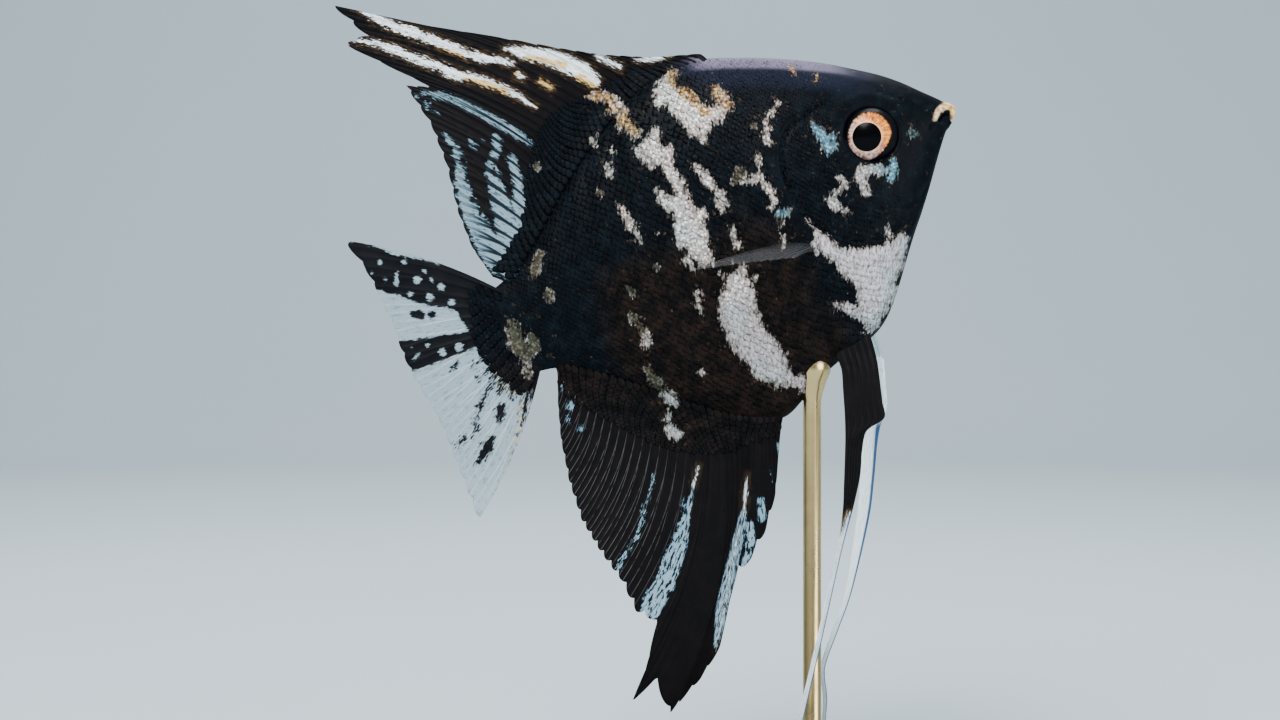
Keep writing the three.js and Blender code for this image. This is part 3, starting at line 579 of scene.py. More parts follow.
class Nodes:
    """A node tree written as plain calls. A value is a number, a colour or another node's output."""

    def __init__(self, tree):
        self.tree = tree

    def feed(self, socket, value):
        if isinstance(value, bpy.types.NodeSocket):
            self.tree.links.new(value, socket)
        else:
            socket.default_value = value

    def node(self, kind, inputs=None, **settings):
        made = self.tree.nodes.new(kind)
        for name, value in settings.items():
            setattr(made, name, value)
        for name, value in (inputs or {}).items():
            self.feed(made.inputs[name], value)
        return made

    def math(self, operation, *values):
        made = self.node("ShaderNodeMath", operation=operation)
        for socket, value in zip(made.inputs, values):
            self.feed(socket, value)
        return made.outputs[0]

    def mix(self, factor, a, b, blend="MIX"):
        made = self.node("ShaderNodeMix", data_type="RGBA", blend_type=blend)
        for index, value in ((0, factor), (6, a), (7, b)):
            self.feed(made.inputs[index], value)
        return made.outputs[2]

    def plus(self, a, b):
        return self.math("ADD", a, b)

    def minus(self, a, b):
        return self.math("SUBTRACT", a, b)

    def times(self, a, b):
        return self.math("MULTIPLY", a, b)

    def times_plus(self, a, b, c):
        return self.math("MULTIPLY_ADD", a, b, c)

    def larger(self, a, b):
        return self.math("MAXIMUM", a, b)

    def swayed(self, value, noise, amount):
        """A value pushed up and down by noise that lies round a half."""
        return self.times_plus(self.minus(noise, 0.5), amount, value)

    def tinted(self, colour, tint):
        return self.mix(1.0, colour, tint, "MULTIPLY")

    def ramp(self, value, low, high, to_low=0.0, to_high=1.0):
        inputs = {
            "Value": value, "From Min": low, "From Max": high, "To Min": to_low, "To Max": to_high,
        }
        return self.node("ShaderNodeMapRange", inputs, interpolation_type="SMOOTHSTEP").outputs["Result"]

    def noise(self, place, scale, detail=2.0, roughness=0.5, distortion=0.0):
        inputs = {
            "Vector": place, "Scale": scale, "Detail": detail, "Roughness": roughness,
            "Distortion": distortion,
        }
        return self.node("ShaderNodeTexNoise", inputs).outputs["Fac"]

    def stretched(self, place, scale):
        return self.node("ShaderNodeMapping", {"Vector": place, "Scale": scale}).outputs[0]

    def place(self):
        return self.node("ShaderNodeTexCoord").outputs["Object"]

    def grey(self, level):
        inputs = {"Red": level, "Green": level, "Blue": level}
        return self.node("ShaderNodeCombineColor", inputs).outputs[0]

    def value(self, name):
        return self.node("ShaderNodeAttribute", attribute_name=name).outputs["Fac"]

    def vector(self, x, y, z=0.0):
        return self.node("ShaderNodeCombineXYZ", {"X": x, "Y": y, "Z": z}).outputs[0]

    def use(self, group, inputs):
        return self.node("ShaderNodeGroup", inputs, node_tree=group).outputs

    def bumped(self, height, strength, distance):
        inputs = {"Height": height, "Strength": strength, "Distance": distance}
        return self.node("ShaderNodeBump", inputs).outputs[0]


def make_group(name, inputs, outputs, build):
    """A shader node group. inputs gives each a number, a colour or a place; outputs gives each a kind."""
    tree = bpy.data.node_groups.new(name, "ShaderNodeTree")
    for label, value in inputs.items():
        kind = "Float" if isinstance(value, float) else {3: "Vector", 4: "Color"}[len(value)]
        socket = tree.interface.new_socket(label, in_out="INPUT", socket_type="NodeSocket" + kind)
        socket.default_value = value
    for label, kind in outputs.items():
        tree.interface.new_socket(label, in_out="OUTPUT", socket_type="NodeSocket" + kind)
    nodes = Nodes(tree)
    given = nodes.node("NodeGroupInput").outputs
    results = nodes.node("NodeGroupOutput").inputs
    for label, value in build(nodes, given).items():
        nodes.feed(results[label], value)
    return tree


SKIN_NOISE = {  # how many blotches to a metre
    "broad": 75, "coarse": 420, "freckles": 900, "fine": 1500, "pebbles": 1900.0, "upright": 2300,
}
FINE_BUMP = 0.0001  # metres


def marbling(nodes, given):
    """Black skin, brown low on the flank, a painted mauve sheen along the back, and ragged pebbly marbling.
    """
    place = given["Place"]
    broad = nodes.noise(place, SKIN_NOISE["broad"], 3, 0.6)
    coarse = nodes.noise(place, SKIN_NOISE["coarse"], 3, 0.6)
    fine = nodes.noise(place, SKIN_NOISE["fine"], 2, 0.6)
    upright = nodes.noise(nodes.stretched(place, (1, 1, 0.36)), SKIN_NOISE["upright"], 3, 0.65)
    ragged = nodes.swayed(nodes.swayed(given["Pale"], coarse, 2.6), upright, 3.0)
    mask = nodes.ramp(ragged, -0.4, 0.15)

    teal = nodes.mix(nodes.ramp(coarse, 0.4, 0.75), (0.0013, 0.0023, 0.0038, 1), (0.003, 0.006, 0.0088, 1))
    patches = nodes.ramp(coarse, 0.35, 0.7)
    brown = nodes.mix(patches, (0.0025, 0.0024, 0.0027, 1), (0.0115, 0.0072, 0.0058, 1))
    earth = nodes.ramp(nodes.plus(given["Earth"], nodes.minus(broad, 0.5)), 0.2, 0.85)
    dark = nodes.mix(earth, teal, brown)
    # Painted sheen of light from above along the back: faint violet lower down, mauve nearest the back.
    violet = nodes.mix(broad, (0.0036, 0.005, 0.011, 1), (0.009, 0.012, 0.025, 1))
    mauve = nodes.mix(coarse, (0.06, 0.054, 0.085, 1), (0.14, 0.125, 0.19, 1))
    dark = nodes.mix(nodes.ramp(given["Bloom"], 0.0, 0.3), dark, violet)
    dark = nodes.mix(nodes.ramp(given["Bloom"], 0.3, 0.95), dark, mauve)
    near = nodes.ramp(given["Pale"], -3.4, -0.2, 0.12, 0.9)
    freckle = nodes.ramp(nodes.noise(place, SKIN_NOISE["freckles"], 3, 0.7), 0.6, 0.72)
    dark = nodes.mix(nodes.times(near, freckle), dark, (0.05, 0.032, 0.021, 1))
    dark = nodes.tinted(dark, nodes.grey(nodes.times_plus(given["Tone"], 0.3, 0.85)))

    # Silver pebbles: painted light on their crowns, painted shade in the gaps between them, and painted
    # white glints.
    cells = {"Vector": place, "Scale": SKIN_NOISE["pebbles"]}
    pebbles = nodes.node("ShaderNodeTexVoronoi", cells).outputs
    raised = nodes.ramp(pebbles["Distance"], 0.62, 0.2)
    glint = nodes.times(nodes.ramp(pebbles["Color"], 0.5, 0.72), raised)
    sparkling = nodes.mix(raised, (0.34, 0.31, 0.31, 1), (0.74, 0.71, 0.70, 1))
    sparkling = nodes.mix(glint, sparkling, (0.97, 0.96, 0.95, 1))
    smooth = nodes.mix(nodes.ramp(upright, 0.3, 0.62), (0.20, 0.19, 0.205, 1), (0.54, 0.53, 0.565, 1))
    tint = nodes.mix(nodes.ramp(broad, 0.4, 0.62), (1.0, 0.95, 0.93, 1), (0.85, 0.98, 0.97, 1))
    silver = nodes.tinted(nodes.mix(given["Calm"], sparkling, smooth), tint)
    warm = nodes.ramp(nodes.swayed(given["Warm"], coarse, 1.8), 0.5, 1.05)
    gold = nodes.mix(nodes.ramp(fine, 0.35, 0.6), (0.30, 0.16, 0.08, 1), (0.92, 0.68, 0.33, 1))
    silver = nodes.mix(warm, silver, nodes.tinted(silver, gold))
    silver = nodes.mix(given["Cool"], silver, nodes.tinted(silver, (0.25, 0.58, 0.78, 1)))
    silver = nodes.mix(given["Dim"], silver, nodes.tinted(silver, (0.15, 0.148, 0.11, 1)))
    faded = nodes.tinted(silver, nodes.mix(fine, (0.26, 0.21, 0.16, 1), (0.62, 0.6, 0.55, 1)))
    silver = nodes.mix(nodes.ramp(ragged, -0.35, 1.25), faded, silver)
    silver = nodes.tinted(silver, nodes.grey(nodes.times_plus(given["Tone"], 0.2, 0.84)))
    return {
        "Color": nodes.mix(mask, dark, silver),
        "Mask": mask,
        "Roughness": nodes.times_plus(mask, -0.1, nodes.ramp(coarse, 0.2, 0.8, 0.46, 0.58)),
        "Metallic": nodes.times(mask, 0.12),
        "Height": nodes.times_plus(mask, raised, nodes.times(fine, 0.3)),
    }


def grain_height(nodes, given):
    """Fine skin texture: tiny pits over a soft unevenness."""
    pits = nodes.noise(given["Place"], given["Scale"], 3, 0.6)
    uneven = nodes.noise(given["Place"], nodes.times(given["Scale"], 0.2), 2, 0.5)
    return {"Height": nodes.times_plus(uneven, 1.6, pits)}


def ray_lines(nodes, given):
    """The fan of a fin's rays from the number of each ray and the share of its length: lines that fork."""
    ray, along = given["Ray"], given["Along"]
    off_centre = nodes.math("ABSOLUTE", nodes.minus(nodes.math("FRACT", ray), 0.5))
    soft = nodes.ramp(nodes.minus(ray, given["Spines"]), -0.2, 0.2)
    fork = nodes.times(nodes.ramp(given["Share"], 0.3, 0.95, 0.0, 0.24), soft)
    from_line = nodes.math("ABSOLUTE", nodes.minus(off_centre, fork))
    line = nodes.ramp(from_line, given["Width"], nodes.times(given["Width"], 0.3))
    joint = nodes.math("SINE", nodes.times(along, 7.5))
    joints = nodes.times(nodes.ramp(joint, 0.75, 1.0), nodes.times(line, soft))
    streak_place = nodes.vector(nodes.times(ray, 2.6), nodes.times(along, 0.34))
    fine_place = nodes.vector(nodes.times(ray, 9), nodes.times(along, 1.1), 4.0)
    fleck_place = nodes.vector(nodes.times(ray, 6), nodes.times(along, 0.6), 9.0)
    streak = nodes.minus(nodes.noise(streak_place, 1.0, 3, 0.6), 0.5)
    fine = nodes.minus(nodes.noise(fine_place, 1.0, 2, 0.6), 0.5)
    return {
        "Line": line,
        "Joints": joints,
        "Streak": nodes.times_plus(streak, 1.7, nodes.times(fine, 2.2)),
        "Fleck": nodes.noise(fleck_place, 1.0, 2, 0.6),
    }


def membrane(nodes, given):
    """A fin's skin: dark, clear or opaque white by its masks, frayed by streaks, with its rays showing."""
    place, share, ray = given["Place"], given["Share"], given["Ray"]
    lines = nodes.use(RAY_LINES, {
        "Ray": ray, "Share": share, "Along": given["Along"], "Spines": given["Spines"],
        "Width": given["Line Width"],
    })
    line, fleck = lines["Line"], lines["Fleck"]
    frayed = nodes.ramp(given["Lined"], 0.0, 1.0, nodes.times(given["Ragged"], 0.35), given["Ragged"])
    streak = nodes.times(lines["Streak"], frayed)
    fleck_from = given["Fleck From"]
    flecks = nodes.ramp(fleck, fleck_from, nodes.plus(fleck_from, 0.08), 0.0, given["Flecks"])
    cleared = nodes.plus(streak, given["Clear"])
    whitened = nodes.plus(streak, given["Pale"])
    clear = nodes.larger(nodes.minus(nodes.ramp(cleared, -0.1, 0.3), flecks), 0.0)
    white = nodes.larger(nodes.minus(nodes.ramp(whitened, 0.0, 0.4), flecks), 0.0)

    fringe = nodes.ramp(whitened, -0.9, -0.2, 0.0, given["Fringe"])
    fringe = nodes.times(fringe, nodes.ramp(fleck, 0.4, 0.6))
    lined = nodes.times(line, nodes.times(given["Lined"], given["Line Show"]))
    broken = nodes.times(nodes.ramp(fleck, 0.3, 0.6), nodes.ramp(share, 0.15, 0.5))
    dark = nodes.mix(nodes.noise(place, 300, 3, 0.6), given["Dark"], given["Dark Light"])
    dark = nodes.mix(nodes.times(lined, broken), dark, given["Line Colour"])
    dark = nodes.mix(fringe, dark, (0.20, 0.11, 0.04, 1))

    fading = nodes.ramp(share, given["Fade From"], given["Fade To"], 1.0, given["Faded"])
    line_cover = nodes.times(nodes.times(line, given["Clear Line"]), fading)
    turn = nodes.ramp(share, given["Turn From"], given["Turn To"])
    ray_colour = nodes.mix(turn, given["Root Line"], given["Clear Line Colour"])
    glassy = nodes.mix(line_cover, given["Clear Tint"], ray_colour)
    specks = nodes.times(given["Specks"], nodes.ramp(fleck, 0.46, 0.56))
    grains = nodes.ramp(nodes.noise(place, 1100, 2), 0.4, 0.6)
    speckled = nodes.mix(grains, (0.05, 0.03, 0.02, 1), (0.48, 0.38, 0.24, 1))
    glassy = nodes.mix(specks, glassy, speckled)

    pearl = nodes.mix(nodes.ramp(fleck, 0.25, 0.6), given["Pearl Shade"], (0.88, 0.94, 0.97, 1))
    warm = nodes.times_plus(lines["Streak"], 0.7, nodes.swayed(given["Warm"], fleck, 1.2))
    pearl = nodes.mix(nodes.ramp(warm, 0.35, 1.0), pearl, (0.62, 0.42, 0.15, 1))
    edge = nodes.ramp(ray, given["Edge"], nodes.minus(given["Edge"], 0.7))
    edge = nodes.times(edge, nodes.ramp(share, 0.32, 0.4))
    pearl = nodes.mix(edge, pearl, (0.04, 0.09, 0.19, 1))

    seen = nodes.larger(nodes.larger(given["Clear Cover"], line_cover), specks)
    cover = nodes.minus(1.0, nodes.times(clear, nodes.minus(1.0, seen)))
    height = nodes.times_plus(lines["Joints"], -0.5, line)
    return {
        "Color": nodes.mix(white, nodes.mix(clear, dark, glassy), pearl),
        "Cover": nodes.larger(cover, nodes.times(white, given["White Cover"])),
        "Roughness": nodes.ramp(nodes.noise(place, 500, 2), 0.2, 0.8, 0.42, 0.6),
        "Height": nodes.times_plus(nodes.noise(place, 1200, 2, 0.6), 0.5, height),
    }


# What a fin's material says: how many rays are spines, how its marks fray, its colours, and how far
# its rays show in the dark and in what is clear. Edge is the number of rays in a dark front edge.
DARK_FIN = {
    "Spines": 12.0, "Line Width": 0.2, "Ragged": 1.15, "Flecks": 0.6, "Fleck From": 0.56, "Fringe": 0.22,
    "Dark": (0.0018, 0.002, 0.003, 1), "Dark Light": (0.0065, 0.0056, 0.006, 1),
    "Line Show": 0.2, "Line Colour": (0.02, 0.019, 0.022, 1),
    "Clear Tint": (0.06, 0.18, 0.25, 1), "Clear Cover": 0.22, "Clear Line": 0.95, "White Cover": 0.97,
    "Clear Line Colour": (0.004, 0.0045, 0.006, 1), "Root Line": (0.004, 0.0045, 0.006, 1),
    "Fade From": 0.6, "Fade To": 1.0, "Faded": 0.35, "Turn From": 0.2, "Turn To": 0.5,
    "Pearl Shade": (0.44, 0.50, 0.54, 1), "Edge": -1.0,
}
ANAL_FIN = {
    **DARK_FIN, "Spines": 6.0, "Line Width": 0.042, "Ragged": 1.2, "Flecks": 0.97, "Fleck From": 0.5,
    "Fringe": 0.1, "Line Show": 1.0, "Line Colour": (0.062, 0.06, 0.06, 1),
    "Clear Tint": (0.08, 0.23, 0.33, 1), "Clear Line": 0.5, "Clear Line Colour": (0.50, 0.58, 0.62, 1),
    "Clear Cover": 0.42,
}
TAIL_FIN = {
    **DARK_FIN, "Spines": 0.0, "Line Width": 0.1, "Ragged": 1.5, "Flecks": 0.3, "Fringe": 0.0,
    "Line Show": 0.15, "Line Colour": (0.03, 0.022, 0.02, 1), "Clear Tint": (0.21, 0.32, 0.38, 1),
    "Clear Cover": 0.28, "Clear Line": 0.55, "Clear Line Colour": (0.52, 0.61, 0.66, 1),
    "Root Line": (0.02, 0.014, 0.012, 1), "Fade From": 0.5, "Faded": 0.6, "Turn From": 0.15,
    "Turn To": 0.45, "Dark Light": (0.009, 0.0095, 0.0115, 1),
}
PELVIC_FIN = {
    **ANAL_FIN, "Spines": 1.0, "Line Width": 0.1, "Ragged": 1.8, "Line Show": 0.1, "Flecks": 0.8,
    "Fleck From": 0.56, "Fringe": 0.6, "Clear Cover": 0.4, "Pearl Shade": (0.34, 0.58, 0.70, 1),
    "Edge": 1.6,
}
WHITE_STREAMER = {
    **PELVIC_FIN, "Ragged": 1.0, "Flecks": 0.0, "Fringe": 0.3, "White Cover": 0.98, "Clear Cover": 0.45,
    "Clear Tint": (0.45, 0.62, 0.70, 1),
}
GLASS_FIN = {
    **DARK_FIN, "Spines": 0.0, "Line Width": 0.11, "Ragged": 0.1, "Flecks": 0.0, "Fringe": 0.0,
    "Clear Tint": (0.16, 0.17, 0.19, 1), "Clear Cover": 0.035, "Clear Line": 0.22,
    "Clear Line Colour": (0.20, 0.21, 0.23, 1), "Root Line": (0.10, 0.10, 0.11, 1),
    "Fade From": 0.7, "Faded": 1.0,
}

ORIGIN = (0.0, 0.0, 0.0)
BODY_MASKS = ("pale", "warm", "cool", "dim", "bloom", "earth", "calm")
FIN_MASKS = ("ray", "share", "along", "lined", "clear", "pale", "warm", "specks")
MARBLING = make_group(
    "marbling",
    {"Place": ORIGIN, **{mask.capitalize(): 0.0 for mask in BODY_MASKS}, "Tone": 0.5},
    {"Color": "Color", "Mask": "Float", "Roughness": "Float", "Metallic": "Float", "Height": "Float"},
    marbling,
)
GRAIN = make_group("skin grain", {"Place": ORIGIN, "Scale": 1200.0}, {"Height": "Float"}, grain_height)
RAY_LINES = make_group(
    "fin ray lines",
    {"Ray": 0.0, "Share": 0.0, "Along": 0.0, "Spines": 0.0, "Width": 0.2},
    {"Line": "Float", "Joints": "Float", "Streak": "Float", "Fleck": "Float"},
    ray_lines,
)
MEMBRANE = make_group(
    "fin membrane",
    {"Place": ORIGIN, **{mask.capitalize(): 0.0 for mask in FIN_MASKS}, **DARK_FIN},
    {"Color": "Color", "Cover": "Float", "Roughness": "Float", "Height": "Float"},
    membrane,
)


def make_material(name, settings, build):
    """A material whose build gives what varies over the surface, and settings what is the same all over."""
    made = bpy.data.materials.new(name)
    made.use_nodes = True
    nodes = Nodes(made.node_tree)
    shader = made.node_tree.nodes["Principled BSDF"]
    for label, value in settings.items():
        shader.inputs[label].default_value = value
    for label, value in build(nodes).items():
        nodes.feed(shader.inputs[label], value)
    return made


def mask_values(nodes, masks):
    return {mask.capitalize(): nodes.value(mask) for mask in masks}


def skin_looks(nodes):
    place = nodes.place()
    looks = nodes.use(MARBLING, {"Place": place, **mask_values(nodes, BODY_MASKS)})
    lips = nodes.ramp(nodes.plus(nodes.value("lips"), nodes.noise(place, 1100, 2)), 0.65, 1.4)
    mottled = nodes.ramp(nodes.noise(place, 800, 2), 0.35, 0.6)
    cream = nodes.mix(mottled, (0.19, 0.11, 0.06, 1), (0.60, 0.47, 0.28, 1))
    golden = nodes.mix(mottled, (0.42, 0.21, 0.05, 1), (0.80, 0.58, 0.27, 1))
    cream = nodes.mix(nodes.ramp(nodes.value("warm"), 0.3, 0.9), cream, golden)
    grain = nodes.use(GRAIN, {"Place": place, "Scale": 1300.0})
    return {
        "Base Color": nodes.mix(lips, looks["Color"], cream),
        "Roughness": looks["Roughness"],
        "Metallic": nodes.times(looks["Metallic"], nodes.minus(1.0, lips)),
        "Normal": nodes.bumped(nodes.plus(grain["Height"], looks["Height"]), 0.4, FINE_BUMP),
    }


def scale_looks(nodes):
    masks = mask_values(nodes, (*BODY_MASKS, "tone"))
    looks = nodes.use(MARBLING, {"Place": nodes.place(), **masks})
    rim = nodes.times(nodes.ramp(nodes.value("rim"), 0.6, 1.0), 0.1)
    rimmed = nodes.tinted(looks["Color"], (0.6, 0.57, 0.58, 1))
    return {
        "Base Color": nodes.mix(rim, looks["Color"], rimmed),
        "Roughness": looks["Roughness"],
        "Metallic": looks["Metallic"],
        "Normal": nodes.bumped(looks["Height"], 0.5, FINE_BUMP),
    }


def fin_looks(style):
    """The looks of one fin, from the numbers and colours that its membrane wears."""

    def build(nodes):
        masks = mask_values(nodes, FIN_MASKS)
        looks = nodes.use(MEMBRANE, {"Place": nodes.place(), **masks, **style})
        return {
            "Base Color": looks["Color"],
            "Alpha": looks["Cover"],
            "Roughness": looks["Roughness"],
            "Normal": nodes.bumped(looks["Height"], 0.35, FINE_BUMP),
        }

    return build


def eye_looks(nodes):
    """A black pupil in an iris that is orange in front and pinkish white behind, in a dark ring."""
    pupil = nodes.value("from_pupil")
    mottled = nodes.noise(nodes.place(), 1000, 3, 0.65)
    fibres = nodes.noise(nodes.vector(nodes.times(nodes.value("around"), 14), pupil), 1.0, 3, 0.6)
    warm = nodes.ramp(nodes.swayed(nodes.value("fore"), mottled, 1.6), -0.35, 0.4)
    blotches = nodes.ramp(mottled, 0.35, 0.6)
    pink = nodes.mix(blotches, (0.34, 0.15, 0.11, 1), (0.84, 0.60, 0.53, 1))
    orange = nodes.mix(blotches, (0.40, 0.10, 0.02, 1), (0.92, 0.32, 0.05, 1))
    iris = nodes.mix(warm, pink, orange)
    iris = nodes.mix(nodes.ramp(fibres, 0.44, 0.62, 0.0, 0.7), iris, (0.15, 0.05, 0.03, 1))
    iris = nodes.mix(nodes.ramp(pupil, 2.95, 2.6, 0.0, 0.4), iris, (0.95, 0.60, 0.38, 1))
    ring = nodes.ramp(nodes.swayed(nodes.value("iris_rim"), fibres, 0.16), 0.9, 1.02)
    colour = nodes.mix(ring, iris, (0.0035, 0.0035, 0.005, 1))
    colour = nodes.mix(nodes.ramp(pupil, 2.55, 2.45), colour, (0.001, 0.001, 0.0015, 1))
    return {
        "Base Color": colour,
        "Roughness": nodes.ramp(pupil, 2.3, 2.7, 0.22, 0.38),
        "Metallic": nodes.times(nodes.ramp(pupil, 2.5, 2.7), 0.1),
        "Normal": nodes.bumped(nodes.plus(fibres, mottled), 0.2, 0.00008),
    }


def wood_looks(nodes):
    """Dark oiled hardwood with its grain along the base."""
    place = nodes.place()
    rings = nodes.noise(nodes.stretched(place, (9, 120, 120)), 1.0, 4, 0.6, 0.8)
    pores = nodes.noise(nodes.stretched(place, (60, 1500, 1500)), 1.0, 2, 0.6)
    colour = nodes.mix(nodes.ramp(rings, 0.3, 0.7), (0.045, 0.021, 0.011, 1), (0.17, 0.085, 0.042, 1))
    colour = nodes.mix(nodes.ramp(pores, 0.6, 0.75, 0.0, 0.7), colour, (0.02, 0.01, 0.006, 1))
    return {
        "Base Color": colour,
        "Roughness": nodes.ramp(rings, 0.2, 0.8, 0.42, 0.3),
        "Normal": nodes.bumped(nodes.times_plus(pores, -0.6, rings), 0.2, 0.0002),
    }


def brass_looks(nodes):
    """Satin brass: turned lines round the rod and a little dulling."""
    place = nodes.place()
    lathed = nodes.noise(nodes.stretched(place, (40, 40, 5200)), 1.0, 2, 0.6)
    dulled = nodes.noise(place, 90, 3, 0.6)
    worn = nodes.ramp(dulled, 0.4, 0.75)
    return {
        "Base Color": nodes.mix(worn, (0.55, 0.40, 0.18, 1), (0.38, 0.27, 0.12, 1)),
        "Roughness": nodes.ramp(dulled, 0.3, 0.7, 0.24, 0.36),
        "Normal": nodes.bumped(lathed, 0.12, 0.00005),
    }


def studio_looks(nodes):
    cloudy = nodes.noise(nodes.place(), 3.0, 2)
    return {"Base Color": nodes.mix(cloudy, (0.40, 0.475, 0.52, 1), (0.43, 0.505, 0.55, 1))}


WET = {"Coat Weight": 0.01, "Coat Roughness": 0.25, "Specular IOR Level": 0.03}
GLOSSY = {
    "Coat Weight": 0.04, "Coat Roughness": 0.05, "Coat IOR": 1.3, "Specular IOR Level": 0.04,
}
SILKY = {"Specular IOR Level": 0.03}
OILED = {"Coat Weight": 0.25, "Coat Roughness": 0.2}
MATTE = {"Roughness": 0.8, "Specular IOR Level": 0.2}
MATERIALS = {
    "skin": make_material("marbled skin", WET, skin_looks),
    "scales": make_material("marbled scales", WET, scale_looks),
    "eye": make_material("eye", GLOSSY, eye_looks),
    "dorsal": make_material("dorsal membrane", SILKY, fin_looks(DARK_FIN)),
    "anal": make_material("anal membrane", SILKY, fin_looks(ANAL_FIN)),
    "tail": make_material("tail membrane", SILKY, fin_looks(TAIL_FIN)),
    "pelvic": make_material("pelvic membrane", SILKY, fin_looks(PELVIC_FIN)),
    "streamer": make_material("white streamer", SILKY, fin_looks(WHITE_STREAMER)),
    "glass": make_material("pectoral membrane", SILKY, fin_looks(GLASS_FIN)),
    "wood": make_material("oiled hardwood", OILED, wood_looks),
    "brass": make_material("satin brass", {"Metallic": 1.0}, brass_looks),
    "studio": make_material("pale studio floor", MATTE, studio_looks),
}

# ---- The skin ----------------------------------------------------------------------------------

RELIEF = {  # heights over the smooth skin, millimetres; below 0 for what is sunk
    "upper lip": 0.55, "lower lip": 0.3, "mouth cleft": -0.62, "mouth fold": -0.22,
    "eye socket": -1.3, "socket rim": 0.12, "brow": 0.2, "gill cover": 0.42, "gill groove": -0.3,
    "gill folds": 0.1, "cheek ridge": 0.2, "cheek groove": -0.1, "nostril": -0.4, "nostril rim": 0.12,
    "pore": -0.16, "pore channel": -0.07, "neck muscle": 0.1, "muscle blocks": 0.07,
    "pectoral root": 0.5, "pelvic root": 0.7,
}


def quarter_round(distance, radius):
    """From 0 at an edge to 1 at radius inside it, along a quarter of a circle."""
    return np.sqrt(1 - (1 - np.clip(distance / radius, 0, 1)) ** 2)


def ring_stations():
    share = np.linspace(0, 1, RINGS + 1)
    return SKIN["nose"] + (SKIN["tail"] - SKIN["nose"]) * share ** SKIN["crowding"]


def section_at(u):
    """One cross-section as SPOKES points (u, y, v), evenly spaced from the back down the right side."""
    turn = np.linspace(0, 2 * np.pi, SECTION_STEPS)
    front = quarter_round(u - SKIN["nose"], SKIN["rounding"])
    rounding = front * quarter_round(SKIN["tail"] - u, SKIN["tail_edge"])
    width = (half_width(u) - COAT_DEPTH) * front
    width *= quarter_round(SKIN["tail"] - u, SKIN["wedge"])
    level = middle_level(u)
    rise = np.cos(turn)
    tall = np.where(rise > 0, back_level(u) - level, level - belly_level(u)) - COAT_DEPTH
    taper = np.where(rise > 0, BACK_TAPER, BELLY_TAPER)
    across = np.sin(turn)
    y = -width * np.sign(across) * np.abs(across) ** taper
    v = level + tall * rounding * rise
    length = np.concatenate([[0], np.cumsum(np.hypot(np.diff(y), np.diff(v)))])
    even = np.linspace(0, length[-1], SPOKES + 1)[:-1]
    return np.stack([np.full(SPOKES, u), np.interp(even, length, y), np.interp(even, length, v)], axis=1)


def grid_normals(grid):
    """Unit normals of a grid of points that closes round its second direction."""
    along = np.gradient(grid, axis=0)
    around = np.roll(grid, -1, axis=1) - np.roll(grid, 1, axis=1)
    normals = np.cross(along, around)
    normals /= np.maximum(np.linalg.norm(normals, axis=2, keepdims=True), 1e-9)
    centre = grid.mean(axis=1, keepdims=True)
    if ((grid - centre) * normals).sum() < 0:
        normals = -normals
    return normals


def mouth_relief(u, v):
    """Two fleshy lips round the front of the jaws, and the cleft between them."""
    upper, lower, cleft = (
        np.abs(line_offset(u, v, smooth_path(path, 24))) for path in (UPPER_LIP, LOWER_LIP, MOUTH_CLEFT)
    )
    width = blend(0.42, 0.75, step(u, 4, 0))
    lips = bump(upper, width) * RELIEF["upper lip"] + bump(lower, 0.5) * RELIEF["lower lip"]
    lips = lips + bump(cleft, 0.2) * RELIEF["mouth cleft"]
    from_corner = np.hypot((u - 4.9) / 1.2, v + 0.9 + 0.5 * (u - 4.9))
    return lips * step(u, 5, 4) + bump(from_corner, 0.4) * RELIEF["mouth fold"]


def head_relief(u, v):
    """Sockets, cheek ridge, gill covers, nostrils and pores, as heights above the smooth head."""
    from_eye = np.hypot(u - EYE["u"], v - EYE["v"])
    socket = RELIEF["eye socket"] * step(from_eye, 5.05, 4.4)
    socket = socket + RELIEF["socket rim"] * bump(from_eye - 5.55, 0.5)
    brow = RELIEF["brow"] * bump(from_eye - 6.8, 1.0) * step(v, EYE["v"], EYE["v"] + 4)
    outside = -line_offset(u, v, smooth_path(GILL_MARGIN, 40))
    shown = step(u, 13, 19)
    cover = RELIEF["gill cover"] * step(outside, 0.22, -0.22) * step(outside, -7, -1.2)
    cover = cover + RELIEF["gill groove"] * bump(outside - 0.45, 0.5)
    ridge_offset = -line_offset(u, v, smooth_path(CHEEK_RIDGE, 30))
    ridge = RELIEF["cheek ridge"] * step(ridge_offset, 0.3, -0.2) * step(ridge_offset, -4, -0.6)
    ridge = ridge + RELIEF["cheek groove"] * bump(ridge_offset - 0.5, 0.4)
    folds = RELIEF["gill folds"] * np.sin(outside * 4.2)
    folds = folds * step(outside, 0.6, 1.2) * step(outside, 4.5, 2.6)
    folds = folds * step(v, -12.5, -15)
    nose = np.hypot(u - NOSTRIL[0], v - NOSTRIL[1])
    nostril = RELIEF["nostril"] * bump(nose, 0.3) + RELIEF["nostril rim"] * bump(nose - 0.52, 0.18)
    pores = sum(RELIEF["pore"] * bump(np.hypot(u - at, v - level), 0.2) for at, level in PORES)
    from_channel = np.abs(line_offset(u, v, smooth_path(PORES[:5], 30)))
    channel = RELIEF["pore channel"] * bump(from_channel, 0.5)
    muscle = RELIEF["neck muscle"] * np.sin(u / 2.3 + v / 5) * step(u, 24, 32) * step(v, 12, 18)
    return socket + brow + shown * (cover + folds) + ridge + nostril + pores + channel + muscle


